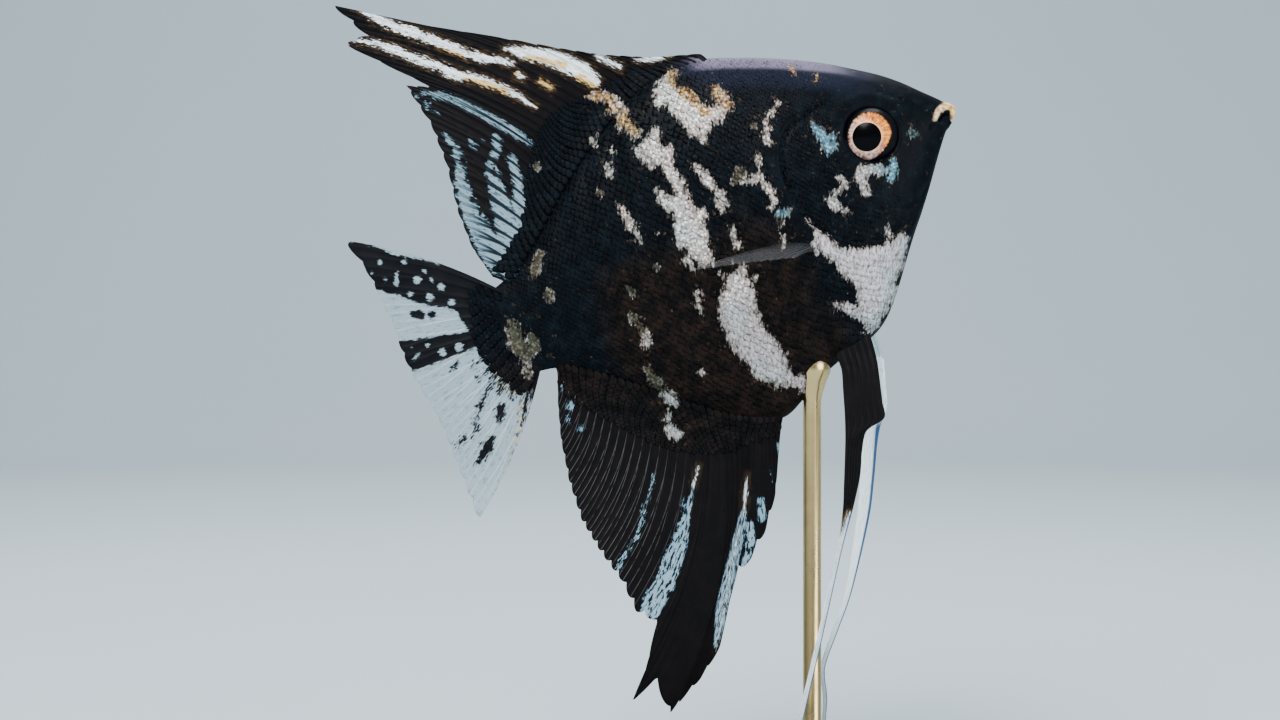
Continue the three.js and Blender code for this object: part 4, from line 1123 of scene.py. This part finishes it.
def body_relief(u, v):
    """Muscle blocks under the skin, and the roots of the paired fins."""
    from_middle = np.abs(v - middle_level(u))
    blocks = RELIEF["muscle blocks"] * np.sin((u + 0.35 * from_middle) * 1.15)
    blocks = blocks * step(u, 34, 42) * step(u, 88, 80)
    shoulder = RELIEF["pectoral root"] * bump(np.hypot(u - 32.4, (v + 10.6) * 0.9), 2.6)
    hips = RELIEF["pelvic root"] * bump(np.hypot((u - 33.5) / 1.8, v + 28.4), 2.4)
    return blocks + shoulder + hips


def make_grid():
    """The skin's points, ring by ring from the snout, with all its relief, and their normals."""
    grid = np.stack([section_at(u) for u in ring_stations()])
    u, y, v = np.moveaxis(grid, -1, 0)
    sides = step(np.abs(y), 0.6, 2.4)
    height = mouth_relief(u, v) + head_relief(u, v) * sides + body_relief(u, v) * sides
    grid = grid + grid_normals(grid) * height[..., None]
    return grid, grid_normals(grid)


BODY_GRID, BODY_NORMALS = make_grid()


def make_skin():
    shape = bmesh.new()
    bmesh.ops.create_uvsphere(shape, u_segments=SPOKES, v_segments=RINGS, radius=1)
    mesh = mesh_of(shape)
    unit = mesh_points(mesh)
    ring = np.rint(np.arccos(np.clip(unit[:, 2], -1, 1)) / np.pi * RINGS).astype(int)
    spoke = np.rint(np.arctan2(unit[:, 1], unit[:, 0]) / (2 * np.pi) * SPOKES).astype(int) % SPOKES
    places = BODY_GRID[ring, spoke]
    place_points(mesh, to_frame(places))
    face_outwards(mesh)
    store(mesh, body_marks(places))
    nodes = (
        "head", "gill_cover_left", "gill_cover_right", "upper_lip", "lower_lip", "trunk", "tail_base",
    )
    finish_piece(mesh, "skin", MATERIALS["skin"], nodes)


make_skin()

# ---- Scales ------------------------------------------------------------------------------------

# How far apart scales lie along a row, and how far apart rows lie, at each distance from the snout.
SCALE_PITCH = through([
    (8, 0.55), (14, 0.6), (20, 0.75), (28, 0.95), (36, 1.2), (50, 1.35), (68, 1.15), (80, 0.85), (89, 0.6),
])
SCALE_ROW = through([
    (8, 0.42), (14, 0.46), (20, 0.54), (28, 0.66), (36, 0.78), (50, 0.86), (68, 0.74), (80, 0.56),
    (89, 0.42),
])
# One scale: the places of its rows from root to tip, the width of each, and its columns across.
SCALE_STEPS = np.array([0, 0.35, 0.66, 0.88, 1])
SCALE_WIDTHS = np.array([0.62, 0.96, 1.0, 0.86, 0.62])
SCALE_ACROSS = np.array([-1, -0.42, 0.42, 1])
SCALE = {
    "length": 1.8, "width": 1.12, "root": -0.05, "lift": 0.065, "crown": 0.012, "thickness": 0.022,
    "round": 0.3,
}
BAKE_PATCH = 0.003  # side of the patch of the OFBake map that a scale takes
BAKE_EDGE = 0.01  # margin left round that map


def scale_template():
    """A thin scale: points (along, across, height) from 0 at its root, and its faces."""
    shape = bmesh.new()
    bmesh.ops.create_grid(shape, x_segments=4, y_segments=3, size=1)
    shape.verts.ensure_lookup_table()
    rows = [int(round((vert.co.x + 1) * 2)) for vert in shape.verts]
    columns = [int(round((vert.co.y + 1) * 1.5)) for vert in shape.verts]
    edge = [vert.is_boundary for vert in shape.verts]
    faces = [[vert.index for vert in face.verts] for face in shape.faces]
    shape.free()
    along = SCALE_STEPS[rows]
    across = SCALE_ACROSS[columns]
    tip = along - SCALE["round"] * across**2 * along**3
    top = np.stack([tip, across * SCALE_WIDTHS[rows], SCALE["crown"] * (1 - across**2)], axis=1)
    inner = [i for i, on_edge in enumerate(edge) if not on_edge]
    lower = {i: len(top) + n for n, i in enumerate(inner)}
    under = top[inner] - [0, 0, SCALE["thickness"]]
    under_faces = [[lower.get(i, i) for i in reversed(face)] for face in faces]
    return np.concatenate([top, under]), np.array(faces + under_faces)


TEMPLATE, TEMPLATE_FACES = scale_template()


def build_scales(name, roots, surface, unwrap, marks):
    """Joins one scale for each root (a, b, length, half width, lift) into a piece.

    surface(a, b) gives points and normals in millimetres, with a and b in millimetres along it.
    """
    count = len(roots)
    draw = np.random.default_rng(len(name) * 7 + count)
    size = draw.uniform(0.94, 1.07, count)
    lean = draw.normal(0, 0.06, count)
    lift = draw.uniform(0.75, 1.3, count)
    tone = draw.uniform(0, 1, count)
    a, b, length, half, rise = roots.T
    along = TEMPLATE[None, :, 0] * (length * size)[:, None]
    across = TEMPLATE[None, :, 1] * (half * size)[:, None]
    a_places = a[:, None] + along - across * lean[:, None]
    b_places = b[:, None] + across + along * lean[:, None]
    points, normals = surface(a_places.ravel(), b_places.ravel())
    slope = SCALE["root"] + SCALE["lift"] * TEMPLATE[None, :, 0] ** 1.25 * (lift * rise)[:, None]
    height = slope + TEMPLATE[None, :, 2] * (length / SCALE["length"])[:, None]
    places = points + normals * height.ravel()[:, None]
    faces = (TEMPLATE_FACES[None] + (np.arange(count) * len(TEMPLATE))[:, None, None]).reshape(-1, 4)

    mesh = bpy.data.meshes.new(name)
    mesh.from_pydata(to_frame(places).tolist(), [], faces.tolist())
    if outward_sign(mesh, normals) < 0:
        mesh.flip_normals()
    centre_points, _ = surface(a + length * 0.55, b)
    mark_places = blend(np.repeat(centre_points, len(TEMPLATE), axis=0), places, 0.8)
    store(mesh, marks(mark_places))
    store(mesh, {"tone": np.repeat(tone, len(TEMPLATE)), "rim": np.tile(TEMPLATE[:, 0], count)})

    corner = unwrap(a, b)
    spread = np.stack([TEMPLATE[:, 0] - 0.5, TEMPLATE[:, 1] * 0.5], axis=1) * BAKE_PATCH
    patches = (corner[:, None, :] + spread[None]).reshape(-1, 2)
    layer = mesh.uv_layers.new(name="OFBake")
    layer.data.foreach_set("uv", patches[faces.ravel()].astype(np.float32).ravel())
    finish_piece(mesh, name, MATERIALS["scales"])


def outward_sign(mesh, normals):
    """Whether the first scales' upper faces look the way their surface does."""
    total = 0.0
    for face in mesh.polygons[: len(TEMPLATE_FACES) // 2]:
        base = normals[face.vertices[0]]
        tip = to_frame(np.array([base, [0, 0, 0]]))
        outward = Vector(tip[0] - tip[1])
        total += face.normal.dot(outward)
    return total


def body_levels(u):
    """At stations u: the whole way round the skin, and the way from the back to the widest level."""
    stations = ring_stations()
    closed = np.concatenate([BODY_GRID, BODY_GRID[:, :1]], axis=1)
    pieces = np.linalg.norm(np.diff(closed, axis=1), axis=2)
    whole = pieces.sum(axis=1)
    half = SPOKES // 2
    above = np.array([
        pieces[ring, : np.argmax(BODY_GRID[ring, :half, 2] < middle_level(stations[ring]))].sum()
        for ring in range(RINGS + 1)
    ])
    return np.interp(u, stations, whole), np.interp(u, stations, above)


def body_surface(side):
    """The skin on one side as surface(u, q): q is the way up from the widest level."""
    stations = ring_stations()

    def surface(u, q):
        whole, above = body_levels(u)
        turn = np.clip((above - q) / whole, 0.0, 0.5) * SPOKES
        turn = turn if side < 0 else SPOKES - turn
        ring = np.clip(np.interp(u, stations, np.arange(RINGS + 1)), 0, RINGS - 1.001)
        i = ring.astype(int)
        j = np.floor(turn).astype(int)
        f = (ring - i)[:, None]
        g = (turn - j)[:, None]
        found = []
        for table in (BODY_GRID, BODY_NORMALS):
            near = blend(table[i, j % SPOKES], table[i, (j + 1) % SPOKES], g)
            far = blend(table[i + 1, j % SPOKES], table[i + 1, (j + 1) % SPOKES], g)
            found.append(blend(near, far, f))
        return found[0], found[1] / np.linalg.norm(found[1], axis=1, keepdims=True)

    return surface


def body_unwrap(side):
    def unwrap(u, q):
        whole, above = body_levels(u)
        turn = np.clip((above - q) / whole, 0.0, 0.5)
        turn = turn if side < 0 else 1 - turn
        filled = 1 - 2 * BAKE_EDGE
        return BAKE_EDGE + filled * np.stack([turn, u / SKIN["tail"]], axis=1)

    return unwrap


def wears_scales(u, v):
    """Where the skin is scaled: not round the eyes, on the snout, or across the gill cover's edge."""
    from_eye = np.hypot(u - EYE["u"], v - EYE["v"])
    naked_front = np.interp(v, [-20, -14, -8, 0, 6, 12, 20], [19, 17, 14, 11, 12, 14, 18])
    naked_front += 0.8 * np.sin(v * 2.1) + 0.5 * np.sin(v * 5.3 + 1)
    at_margin = np.abs(line_offset(u, v, smooth_path(GILL_MARGIN, 40))) < 0.5
    return (from_eye > 6.2) & (u > naked_front) & ~at_margin & (u < 88)


def body_roots(side, from_u, to_u):
    """Rows of scale roots that run back along the body, each row half a scale behind its neighbour."""
    dense = np.linspace(8, 88.5, 2000)
    halfway = (dense[1:] + dense[:-1]) / 2
    counted = np.concatenate([[0], np.cumsum(np.diff(dense) / SCALE_PITCH(halfway))])
    stations = np.interp(np.arange(0, counted[-1], 0.5), counted, dense)
    surface = body_surface(side)
    roots = []
    for column, u in enumerate(stations):
        if not from_u <= u < to_u:
            continue
        row = float(SCALE_ROW(u))
        whole, above = body_levels(np.array([u]))
        below = whole[0] / 2 - above[0]
        levels = np.arange(math.ceil((-below + 0.3) / row), int((above[0] - 0.3) / row) + 1)
        levels = levels[(levels + column) % 2 == 0]
        if not len(levels):
            continue
        q = levels * row
        pitch = float(SCALE_PITCH(u))
        centres, _ = surface(np.full(len(q), u + pitch), q)
        centre_u, _, centre_v = centres.T
        kept = wears_scales(centre_u, centre_v) & wears_scales(np.full(len(q), u), centre_v)
        length = pitch * SCALE["length"]
        for level in q[kept]:
            roots.append((u, level, length, row * SCALE["width"], min(1.0, 0.35 + length / 2.6)))
    return np.array(roots)


SCALE_ZONES = {"front": (8, 44), "rear": (44, 88)}


def make_body_scales():
    for side, side_name in ((-1, "right"), (1, "left")):
        for zone, (from_u, to_u) in SCALE_ZONES.items():
            roots = body_roots(side, from_u, to_u)
            name = f"scales_{side_name}_{zone}"
            build_scales(name, roots, body_surface(side), body_unwrap(side), body_marks)


make_body_scales()

# ---- Eyes --------------------------------------------------------------------------------------

# Where the pupil and the iris lie from the ball's axis, and the groove round the clear front.
PUPIL = {"back": 0.62, "down": 0.12, "radius": 2.5, "swell": 0.14}
IRIS = {"half_width": 3.8, "half_height": 4.35, "low": 0.4}
GROOVE = {"radius": 4.4, "width": 0.22, "depth": 0.1}
BEYOND_IRIS = 9  # what the back of the ball says for its distance from the pupil


def make_eye(side, name):
    """A flattened ball with a swelling lens and a groove round its clear front."""
    shape = bmesh.new()
    bmesh.ops.create_uvsphere(shape, u_segments=96, v_segments=72, radius=1)
    bmesh.ops.rotate(shape, verts=shape.verts, matrix=Matrix.Rotation(math.radians(90), 3, "X"))
    mesh = mesh_of(shape)
    ball = mesh_points(mesh)
    forward, up = ball[:, 0] * EYE["radius"], ball[:, 2] * EYE["radius"]
    from_axis = np.hypot(forward, up)
    from_pupil = np.hypot(forward + PUPIL["back"], up + PUPIL["down"])
    facing = step(ball[:, 1] * side, 0, 0.3)
    out = ball[:, 1] * EYE["depth"]
    lens = PUPIL["swell"] * bump(from_pupil, PUPIL["radius"])
    groove = GROOVE["depth"] * bump(from_axis - GROOVE["radius"], GROOVE["width"])
    out += side * facing * (lens - groove)
    across = forward * math.cos(PITCH) - up * math.sin(PITCH)
    above = forward * math.sin(PITCH) + up * math.cos(PITCH)
    rim = np.hypot(across / IRIS["half_width"], (above + IRIS["low"]) / IRIS["half_height"])
    shaded = step((across - above) / EYE["radius"], 0.6, 1.3)
    turn = side * EYE["turn"]
    x = forward * math.cos(turn) - out * math.sin(turn)
    y = forward * math.sin(turn) + out * math.cos(turn)
    places = np.stack([EYE["u"] - x, y + side * EYE["centre_y"], up + EYE["v"]], axis=1)
    place_points(mesh, to_frame(places))
    face_outwards(mesh)
    store(mesh, {
        "iris_rim": np.where(facing > 0, rim + 0.24 * shaded, BEYOND_IRIS),
        "from_pupil": np.where(facing > 0, from_pupil, BEYOND_IRIS),
        "fore": (across * 0.8 + above * 0.6) / EYE["radius"],
        "around": np.arctan2(up, forward) / np.pi * 2,
    })
    finish_piece(mesh, name, MATERIALS["eye"], [name])


make_eye(1, "eye_left")
make_eye(-1, "eye_right")

# ---- Fins --------------------------------------------------------------------------------------


def sheet_grid(columns, rows):
    """A closed flat sheet of quads: its mesh, and each point's share across, share along and side."""
    shape = bmesh.new()
    bmesh.ops.create_grid(shape, x_segments=columns, y_segments=rows, size=1)
    bmesh.ops.solidify(shape, geom=shape.faces[:], thickness=0.1)
    bmesh.ops.recalc_face_normals(shape, faces=shape.faces)
    mesh = mesh_of(shape)
    points = mesh_points(mesh)
    middle = (points[:, 2].min() + points[:, 2].max()) / 2
    across = np.clip((points[:, 0] + 1) / 2, 0, 1)
    along = np.clip((points[:, 1] + 1) / 2, 0, 1)
    return mesh, across, along, np.sign(points[:, 2] - middle)


def fan_places(fin):
    """The middle surface of a fan fin, as places(share, t) in (u, y, v), and its rays' lengths."""
    root = fin["root"]
    keys = np.array(fin["keys"], float)
    edge = through(root["edge"]) if "edge" in root else None

    def ends(share):
        u0 = blend(root["from"][0], root["to"][0], share)
        v0 = blend(root["from"][1], root["to"][1], share)
        if edge:
            v0 = edge(u0) - np.sign(v0) * root["inset"]
        else:
            u0 = u0 + root["bulge"] * np.sin(np.pi * share)
        tip_u = np.interp(share, keys[:, 0], keys[:, 1])
        tip_v = np.interp(share, keys[:, 0], keys[:, 2])
        return u0, v0, tip_u - u0, tip_v - v0

    def places(share, t):
        u0, v0, du, dv = ends(share)
        push = 4 * t * (1 - t) * fin["bow"] * step(share, *fin["bowed"])
        turn = np.sign(v0) if edge else np.sign(0.5 - share) * np.abs(1 - 2 * share)
        side, turns = fin["wave"]
        y = side * t * t * np.hypot(du, dv) / 30 * np.sin(2 * np.pi * turns * (share - 0.35))
        return np.stack([u0 + du * t - turn * dv * push, y, v0 + dv * t + turn * du * push], axis=1)

    def length(share):
        _, _, du, dv = ends(share)
        return np.hypot(du, dv)

    return places, length


def ray_ridges(ray, t, spines):
    """How far a fin's surface rises over its rays, from 0 to 1. Soft rays fork towards the margin."""
    off_centre = np.abs(ray - np.floor(ray) - 0.5)
    fork = np.where(ray > spines, 0.24 * step(t, 0.3, 0.95), 0)
    width = np.where(ray > spines, blend(0.2, 0.13, t), blend(0.26, 0.2, t))
    return bump(np.abs(off_centre - fork), width)


def make_fan(name, fin, material, marks):
    mesh, across, along, side = sheet_grid(fin["rays"] * fin["columns"], fin["rows"])
    places, length = fan_places(fin)
    ray = across * fin["rays"]
    off_centre = np.abs(ray - np.floor(ray) - 0.5) * 2
    spiny = step(ray, fin["spines"] + 0.5, fin["spines"] - 0.5)
    notch = FIN["notch"] * (1 + 2.2 * spiny) * off_centre**2.2
    t = along * (1 - notch * step(along, 0.55, 1.0))
    far = t * length(across)
    thickness = blend(*FIN["membrane"], np.sqrt(t)) / 2
    thickness += FIN["flesh"] / 2 * bump(far, FIN["flesh_reach"])
    thickness += blend(*FIN["ray"], t) * (1 + 0.5 * spiny) * ray_ridges(ray, t, fin["spines"])
    middle = places(across, t)
    middle[:, 1] += side * thickness * step(t, 1.0, 0.985)
    place_points(mesh, to_frame(middle))
    face_outwards(mesh)
    store(mesh, marks(middle))
    store(mesh, {"ray": ray, "share": t, "along": far, "lined": step(across, *fin["lined"])})
    finish_piece(mesh, name, material, [name])


def make_fans():
    make_fan(
        "dorsal_fin", DORSAL, MATERIALS["dorsal"],
        lambda at: fin_marks(at, DORSAL_WHITE, DORSAL_CLEAR, DORSAL_DARK),
    )
    make_fan("anal_fin", ANAL, MATERIALS["anal"], lambda at: fin_marks(at, ANAL_WHITE, ANAL_CLEAR))
    make_fan(
        "caudal_fin", CAUDAL, MATERIALS["tail"],
        lambda at: fin_marks(at, [], CAUDAL_CLEAR, CAUDAL_DARK, CAUDAL_SPOTS, CAUDAL_SPECKS),
    )


make_fans()


def make_pelvic(name, rows, side, material, marks):
    """A ribbon of one spine and five soft rays that runs out to a thread."""
    mesh, across, along, face = sheet_grid(PELVIC["rays"] * PELVIC["columns"], PELVIC["rows"])
    lines = [through([(i, row[k]) for i, row in enumerate(rows)]) for k in range(4)]
    front_u, front_v, rear_u, rear_v = (line(along * (len(rows) - 1)) for line in lines)
    splay = PELVIC_SPLAY
    out = np.where(
        along < splay["knee_at"],
        blend(splay["root"], splay["knee"], np.sin(np.pi / 2 * np.minimum(along / splay["knee_at"], 1))),
        blend(splay["knee"], splay["tip"], (along - splay["knee_at"]) / (1 - splay["knee_at"])),
    )
    ray = across * PELVIC["rays"]
    rounded = np.sqrt(np.clip(1 - (2 * across - 1) ** 2, 0, 1))
    thickness = blend(*PELVIC["thickness"], along) / 2 * rounded * (0.6 + 0.4 * ray_ridges(ray, along, 1))
    out = side * out + face * thickness * step(along, 1.0, 0.99)
    places = np.stack([blend(front_u, rear_u, across), out, blend(front_v, rear_v, across)], axis=1)
    place_points(mesh, to_frame(places))
    face_outwards(mesh)
    store(mesh, marks(places))
    store(mesh, {"ray": ray, "share": along, "along": along * PELVIC["length"], "lined": ray * 0 + 1})
    finish_piece(mesh, name, material, [name])


make_pelvic(
    "pelvic_fin_right", PELVIC_RIGHT, -1, MATERIALS["pelvic"],
    lambda at: fin_marks(at, PELVIC_NEAR_WHITE, []),
)
make_pelvic(
    "pelvic_fin_left", PELVIC_LEFT, 1, MATERIALS["streamer"],
    lambda at: fin_marks(at, PELVIC_FAR_WHITE, PELVIC_FAR_CLEAR),
)


def make_pectoral(name, side):
    """A clear fan held out nearly level from behind the gill cover."""
    fin = PECTORAL
    mesh, across, along, face = sheet_grid(fin["rays"] * fin["columns"], fin["rows"])
    ahead = Vector((math.cos(fin["out"]), side * math.sin(fin["out"]), fin["rise"])).normalized()
    beside = Vector((-math.sin(fin["out"]), side * math.cos(fin["out"]), -fin["tilt"])).normalized()
    facing = ahead.cross(beside)
    ray = across * fin["rays"]
    off_centre = np.abs(ray - np.floor(ray) - 0.5) * 2
    t = along * (1 - fin["notch"] * off_centre**2.2 * step(along, 0.5, 1))
    angle = blend(-fin["spread"], fin["spread"], across)
    far = t * fin["length"] * (0.5 + 0.5 * np.sin(np.pi * across ** fin["skew"])) ** fin["fullness"]
    places = np.stack([
        np.full_like(t, fin["u"]),
        np.full_like(t, side * fin["y"]),
        fin["v"] - (across - 0.5) * fin["root"] - fin["droop"] * t * t,
    ], axis=1)
    places += np.outer(far * np.cos(angle), ahead) + np.outer(far * np.sin(angle), beside)
    thickness = blend(*fin["thickness"], t) + blend(*fin["ray"], t) * ray_ridges(ray, t, 0)
    thickness += fin["flesh"] * bump(far, fin["flesh_reach"])
    places += np.outer(face * thickness * step(along, 1.0, 0.985), facing)
    place_points(mesh, to_frame(places))
    face_outwards(mesh)
    root = step(far, 3.5, 1.0)
    none = np.zeros_like(t)
    store(mesh, {"pale": none - 3, "warm": none, "clear": 2 - root * 3.5, "specks": none})
    store(mesh, {"ray": ray, "share": t, "along": far, "lined": none})
    finish_piece(mesh, name, MATERIALS["glass"], [name])


make_pectoral("pectoral_fin_right", -1)
make_pectoral("pectoral_fin_left", 1)

# ---- The scaly sheath at the fins' roots ---------------------------------------------------------

# Its rows run from and to these distances out along the rays. Spacing, length and half width are shares
# of a scale's size, and "most" is the largest share of a ray's length that it covers.
SHEATH = {
    "from": 0.2, "to": 12, "shrinks_over": 9, "size": (0.95, 0.5), "spacing": 1.4, "length": 1.75,
    "half_width": 0.78, "lift": 0.75, "most": 0.6,
}


def fan_surface(fin, side):
    """One face of a fan fin as surface(a, b): a is the way out along the rays, b the way along the root."""
    places, length = fan_places(fin)
    root_span = math.dist(fin["root"]["from"], fin["root"]["to"])

    def surface(a, b):
        share = np.clip(b / root_span, 0.002, 0.998)
        t = np.clip(a / length(share), 0, 1)
        near = places(share, t)
        outwards = places(share, t + 0.01) - near
        sideways = places(np.clip(share + 0.01, 0, 1), t) - near
        normal = np.cross(outwards, sideways)
        normal /= np.maximum(np.linalg.norm(normal, axis=1, keepdims=True), 1e-9)
        normal *= np.sign(normal[:, 1:2] + 1e-9) * side
        half = blend(*FIN["membrane"], np.sqrt(t)) / 2 + FIN["flesh"] / 2 * bump(a, FIN["flesh_reach"])
        half += blend(*FIN["ray"], t) * 1.1
        return near + normal * half[:, None], normal

    return surface, root_span


def sheath_roots(fin, span, reach, low_share, high_share):
    """Scale roots that shrink outwards from a fin's root, over reach(share) millimetres."""
    roots = []
    _, length = fan_places(fin)
    a = SHEATH["from"]
    row = 0
    while a < SHEATH["to"]:
        size = blend(*SHEATH["size"], min(a / SHEATH["shrinks_over"], 1))
        spacing = size * SHEATH["spacing"]
        for b in np.arange((row % 2) * spacing / 2, span, spacing):
            share = b / span
            limit = min(float(reach(share)), SHEATH["most"] * float(length(share)))
            if low_share < share < high_share and a < limit:
                roots.append((a, b, size * SHEATH["length"], size * SHEATH["half_width"], SHEATH["lift"]))
        a += size
        row += 1
    return np.array(roots)


def make_sheath(name, fin, reach, marks, low_share=0.02, high_share=0.98):
    for side, side_name in ((-1, "right"), (1, "left")):
        surface, span = fan_surface(fin, side)
        roots = sheath_roots(fin, span, reach, low_share, high_share)

        def unwrap(a, b):
            column = 0.5 if side > 0 else 0
            return np.stack([0.01 + 0.48 * b / span + column, 0.02 + 0.9 * a / 14], axis=1)

        build_scales(f"{name}_{side_name}", roots, surface, unwrap, marks)


def sheath_marks(white):
    """The sheath wears its fin's white marks and the body's own."""

    def marks(places):
        u, _, v = places.T
        masks = body_marks(places)
        masks["pale"] = np.maximum(masks["pale"], painted(u, v, white))
        masks["earth"] = step(v, FLANK_EARTH["above"], FLANK_EARTH["below"]) * 0.6
        del masks["lips"]
        return masks

    return marks


DORSAL_SHEATH = through([(0, 1.5), (0.3, 4), (0.5, 9), (0.62, 8.5), (0.72, 6.5), (0.8, 4), (1, 3)])
ANAL_SHEATH = through([(0, 2), (0.2, 5), (0.5, 9), (0.8, 7), (1, 4)])
CAUDAL_SHEATH = through([(0, 5), (0.5, 6), (1, 5)])
make_sheath("scales_dorsal", DORSAL, DORSAL_SHEATH, sheath_marks(DORSAL_WHITE[:4]))
make_sheath("scales_anal", ANAL, ANAL_SHEATH, sheath_marks(ANAL_WHITE))
make_sheath("scales_tail", CAUDAL, CAUDAL_SHEATH, sheath_marks([]), 0.06, 0.94)

# ---- The stand ---------------------------------------------------------------------------------


def turned(profile, x, steps):
    """A solid turned on a lathe: points (radius, height) in metres, spun round the upright axis at x."""
    shape = bmesh.new()
    points = [shape.verts.new((x + radius, 0, height)) for radius, height in profile]
    edges = [shape.edges.new(pair) for pair in zip(points, points[1:])]
    bmesh.ops.spin(
        shape, geom=points + edges, cent=(x, 0, 0), axis=(0, 0, 1), angle=2 * math.pi, steps=steps,
        use_merge=True, use_duplicate=False,
    )
    bmesh.ops.remove_doubles(shape, verts=shape.verts, dist=1e-6)
    bmesh.ops.recalc_face_normals(shape, faces=shape.faces)
    return mesh_of(shape)


def make_base():
    """An oval plinth with softly rounded edges."""
    shape = bmesh.new()
    bmesh.ops.create_circle(shape, cap_ends=True, segments=192, radius=1)
    bmesh.ops.scale(shape, verts=shape.verts, vec=(BASE["length"] / 2 * MM, BASE["width"] / 2 * MM, 1))
    made = bmesh.ops.extrude_face_region(shape, geom=shape.faces[:])
    raised = [item for item in made["geom"] if isinstance(item, bmesh.types.BMVert)]
    bmesh.ops.translate(shape, verts=raised, vec=(0, 0, BASE["height"] * MM))
    bmesh.ops.recalc_face_normals(shape, faces=shape.faces)
    for level, offset in ((BASE["height"], BASE["edge"]), (0, BASE["foot"])):
        rim = [
            edge for edge in shape.edges
            if all(abs(vert.co.z - level * MM) < 1e-7 for vert in edge.verts)
        ]
        bmesh.ops.bevel(
            shape, geom=rim, offset=offset * MM, offset_type="OFFSET", segments=6, profile=0.5,
            affect="EDGES", material=-1,
        )
    finish_piece(mesh_of(shape), "stand_base", MATERIALS["wood"], ["stand_base"])


def make_rod():
    """A turned rod with a small foot, and a cup that cradles the belly."""
    low = BASE["height"]
    foot, radius, cup, start = ROD["foot"], ROD["radius"], ROD["cup"], ROD["from"]
    shoulder = low + ROD["foot_height"]
    profile = [
        (0, low), (foot - 0.3, low), (foot, low + 0.3), (foot, low + 0.8), (foot - 0.5, low + 1.3),
        (foot - 2, shoulder), (radius + 0.5, shoulder + 0.3), (radius, shoulder + 1.1),
        (radius, start - 1), (radius + 0.2, start), (cup - 0.7, start + 2.4),
        (cup, ROD["rim"]), (cup, ROD["to"]), (0, ROD["to"]),
    ]
    mesh = turned([(out * MM, height * MM) for out, height in profile], ROD["x"] * MM, 64)
    finish_piece(mesh, "stand_rod", MATERIALS["brass"], ["stand_rod"])


make_base()
make_rod()

# ---- Studio ------------------------------------------------------------------------------------

STUDIO = {"floor": 1.2, "cove": 0.7, "wall": 2.4, "cove_steps": 16}
MIDDLE_OF_FISH = (0, 0, 0.09)
LIGHTS = [  # name, place, target, width, power, colour
    ("key", (-0.35, -0.7, 0.75), MIDDLE_OF_FISH, 0.5, 20, (1.0, 0.98, 0.95)),
    ("fill", (0.7, -0.6, 0.25), MIDDLE_OF_FISH, 0.6, 8, (0.92, 0.96, 1.0)),
    ("top", (0.0, 0.25, 0.95), MIDDLE_OF_FISH, 0.7, 12, (1.0, 1.0, 1.0)),
    ("backdrop", (0.0, 0.9, 1.3), (0, 1.6, 0.3), 0.8, 16, (0.95, 0.98, 1.0)),
]
AIR = {"colour": (0.82, 0.9, 0.95, 1), "strength": 0.3}


def make_floor():
    """A pale floor that curves up into a wall all round."""
    floor, cove = STUDIO["floor"], STUDIO["cove"]
    profile = [(0, 0), (floor, 0)]
    for part in range(1, STUDIO["cove_steps"] + 1):
        angle = math.pi / 2 * part / STUDIO["cove_steps"]
        profile.append((floor + cove * math.sin(angle), cove * (1 - math.cos(angle))))
    profile.append((floor + cove, STUDIO["wall"]))
    mesh = turned(profile, 0, 96)
    mesh.flip_normals()
    mesh.materials.append(MATERIALS["studio"])
    mesh.shade_smooth()
    piece = bpy.data.objects.new("studio_floor", mesh)
    bpy.context.scene.collection.objects.link(piece)


def add_light(name, place, target, size, power, colour):
    light = bpy.data.lights.new(name, "AREA")
    light.shape = "DISK"
    light.size = size
    light.energy = power
    light.color = colour
    lamp = bpy.data.objects.new(name, light)
    lamp.location = place
    lamp.rotation_euler = (Vector(target) - Vector(place)).to_track_quat("-Z", "Y").to_euler()
    bpy.context.scene.collection.objects.link(lamp)


def light_air():
    """The even light that comes from all round."""
    world = bpy.data.worlds.new("studio air")
    world.use_nodes = True
    background = world.node_tree.nodes["Background"].inputs
    background["Color"].default_value = AIR["colour"]
    background["Strength"].default_value = AIR["strength"]
    bpy.context.scene.world = world


make_floor()
for light_settings in LIGHTS:
    add_light(*light_settings)
light_air()
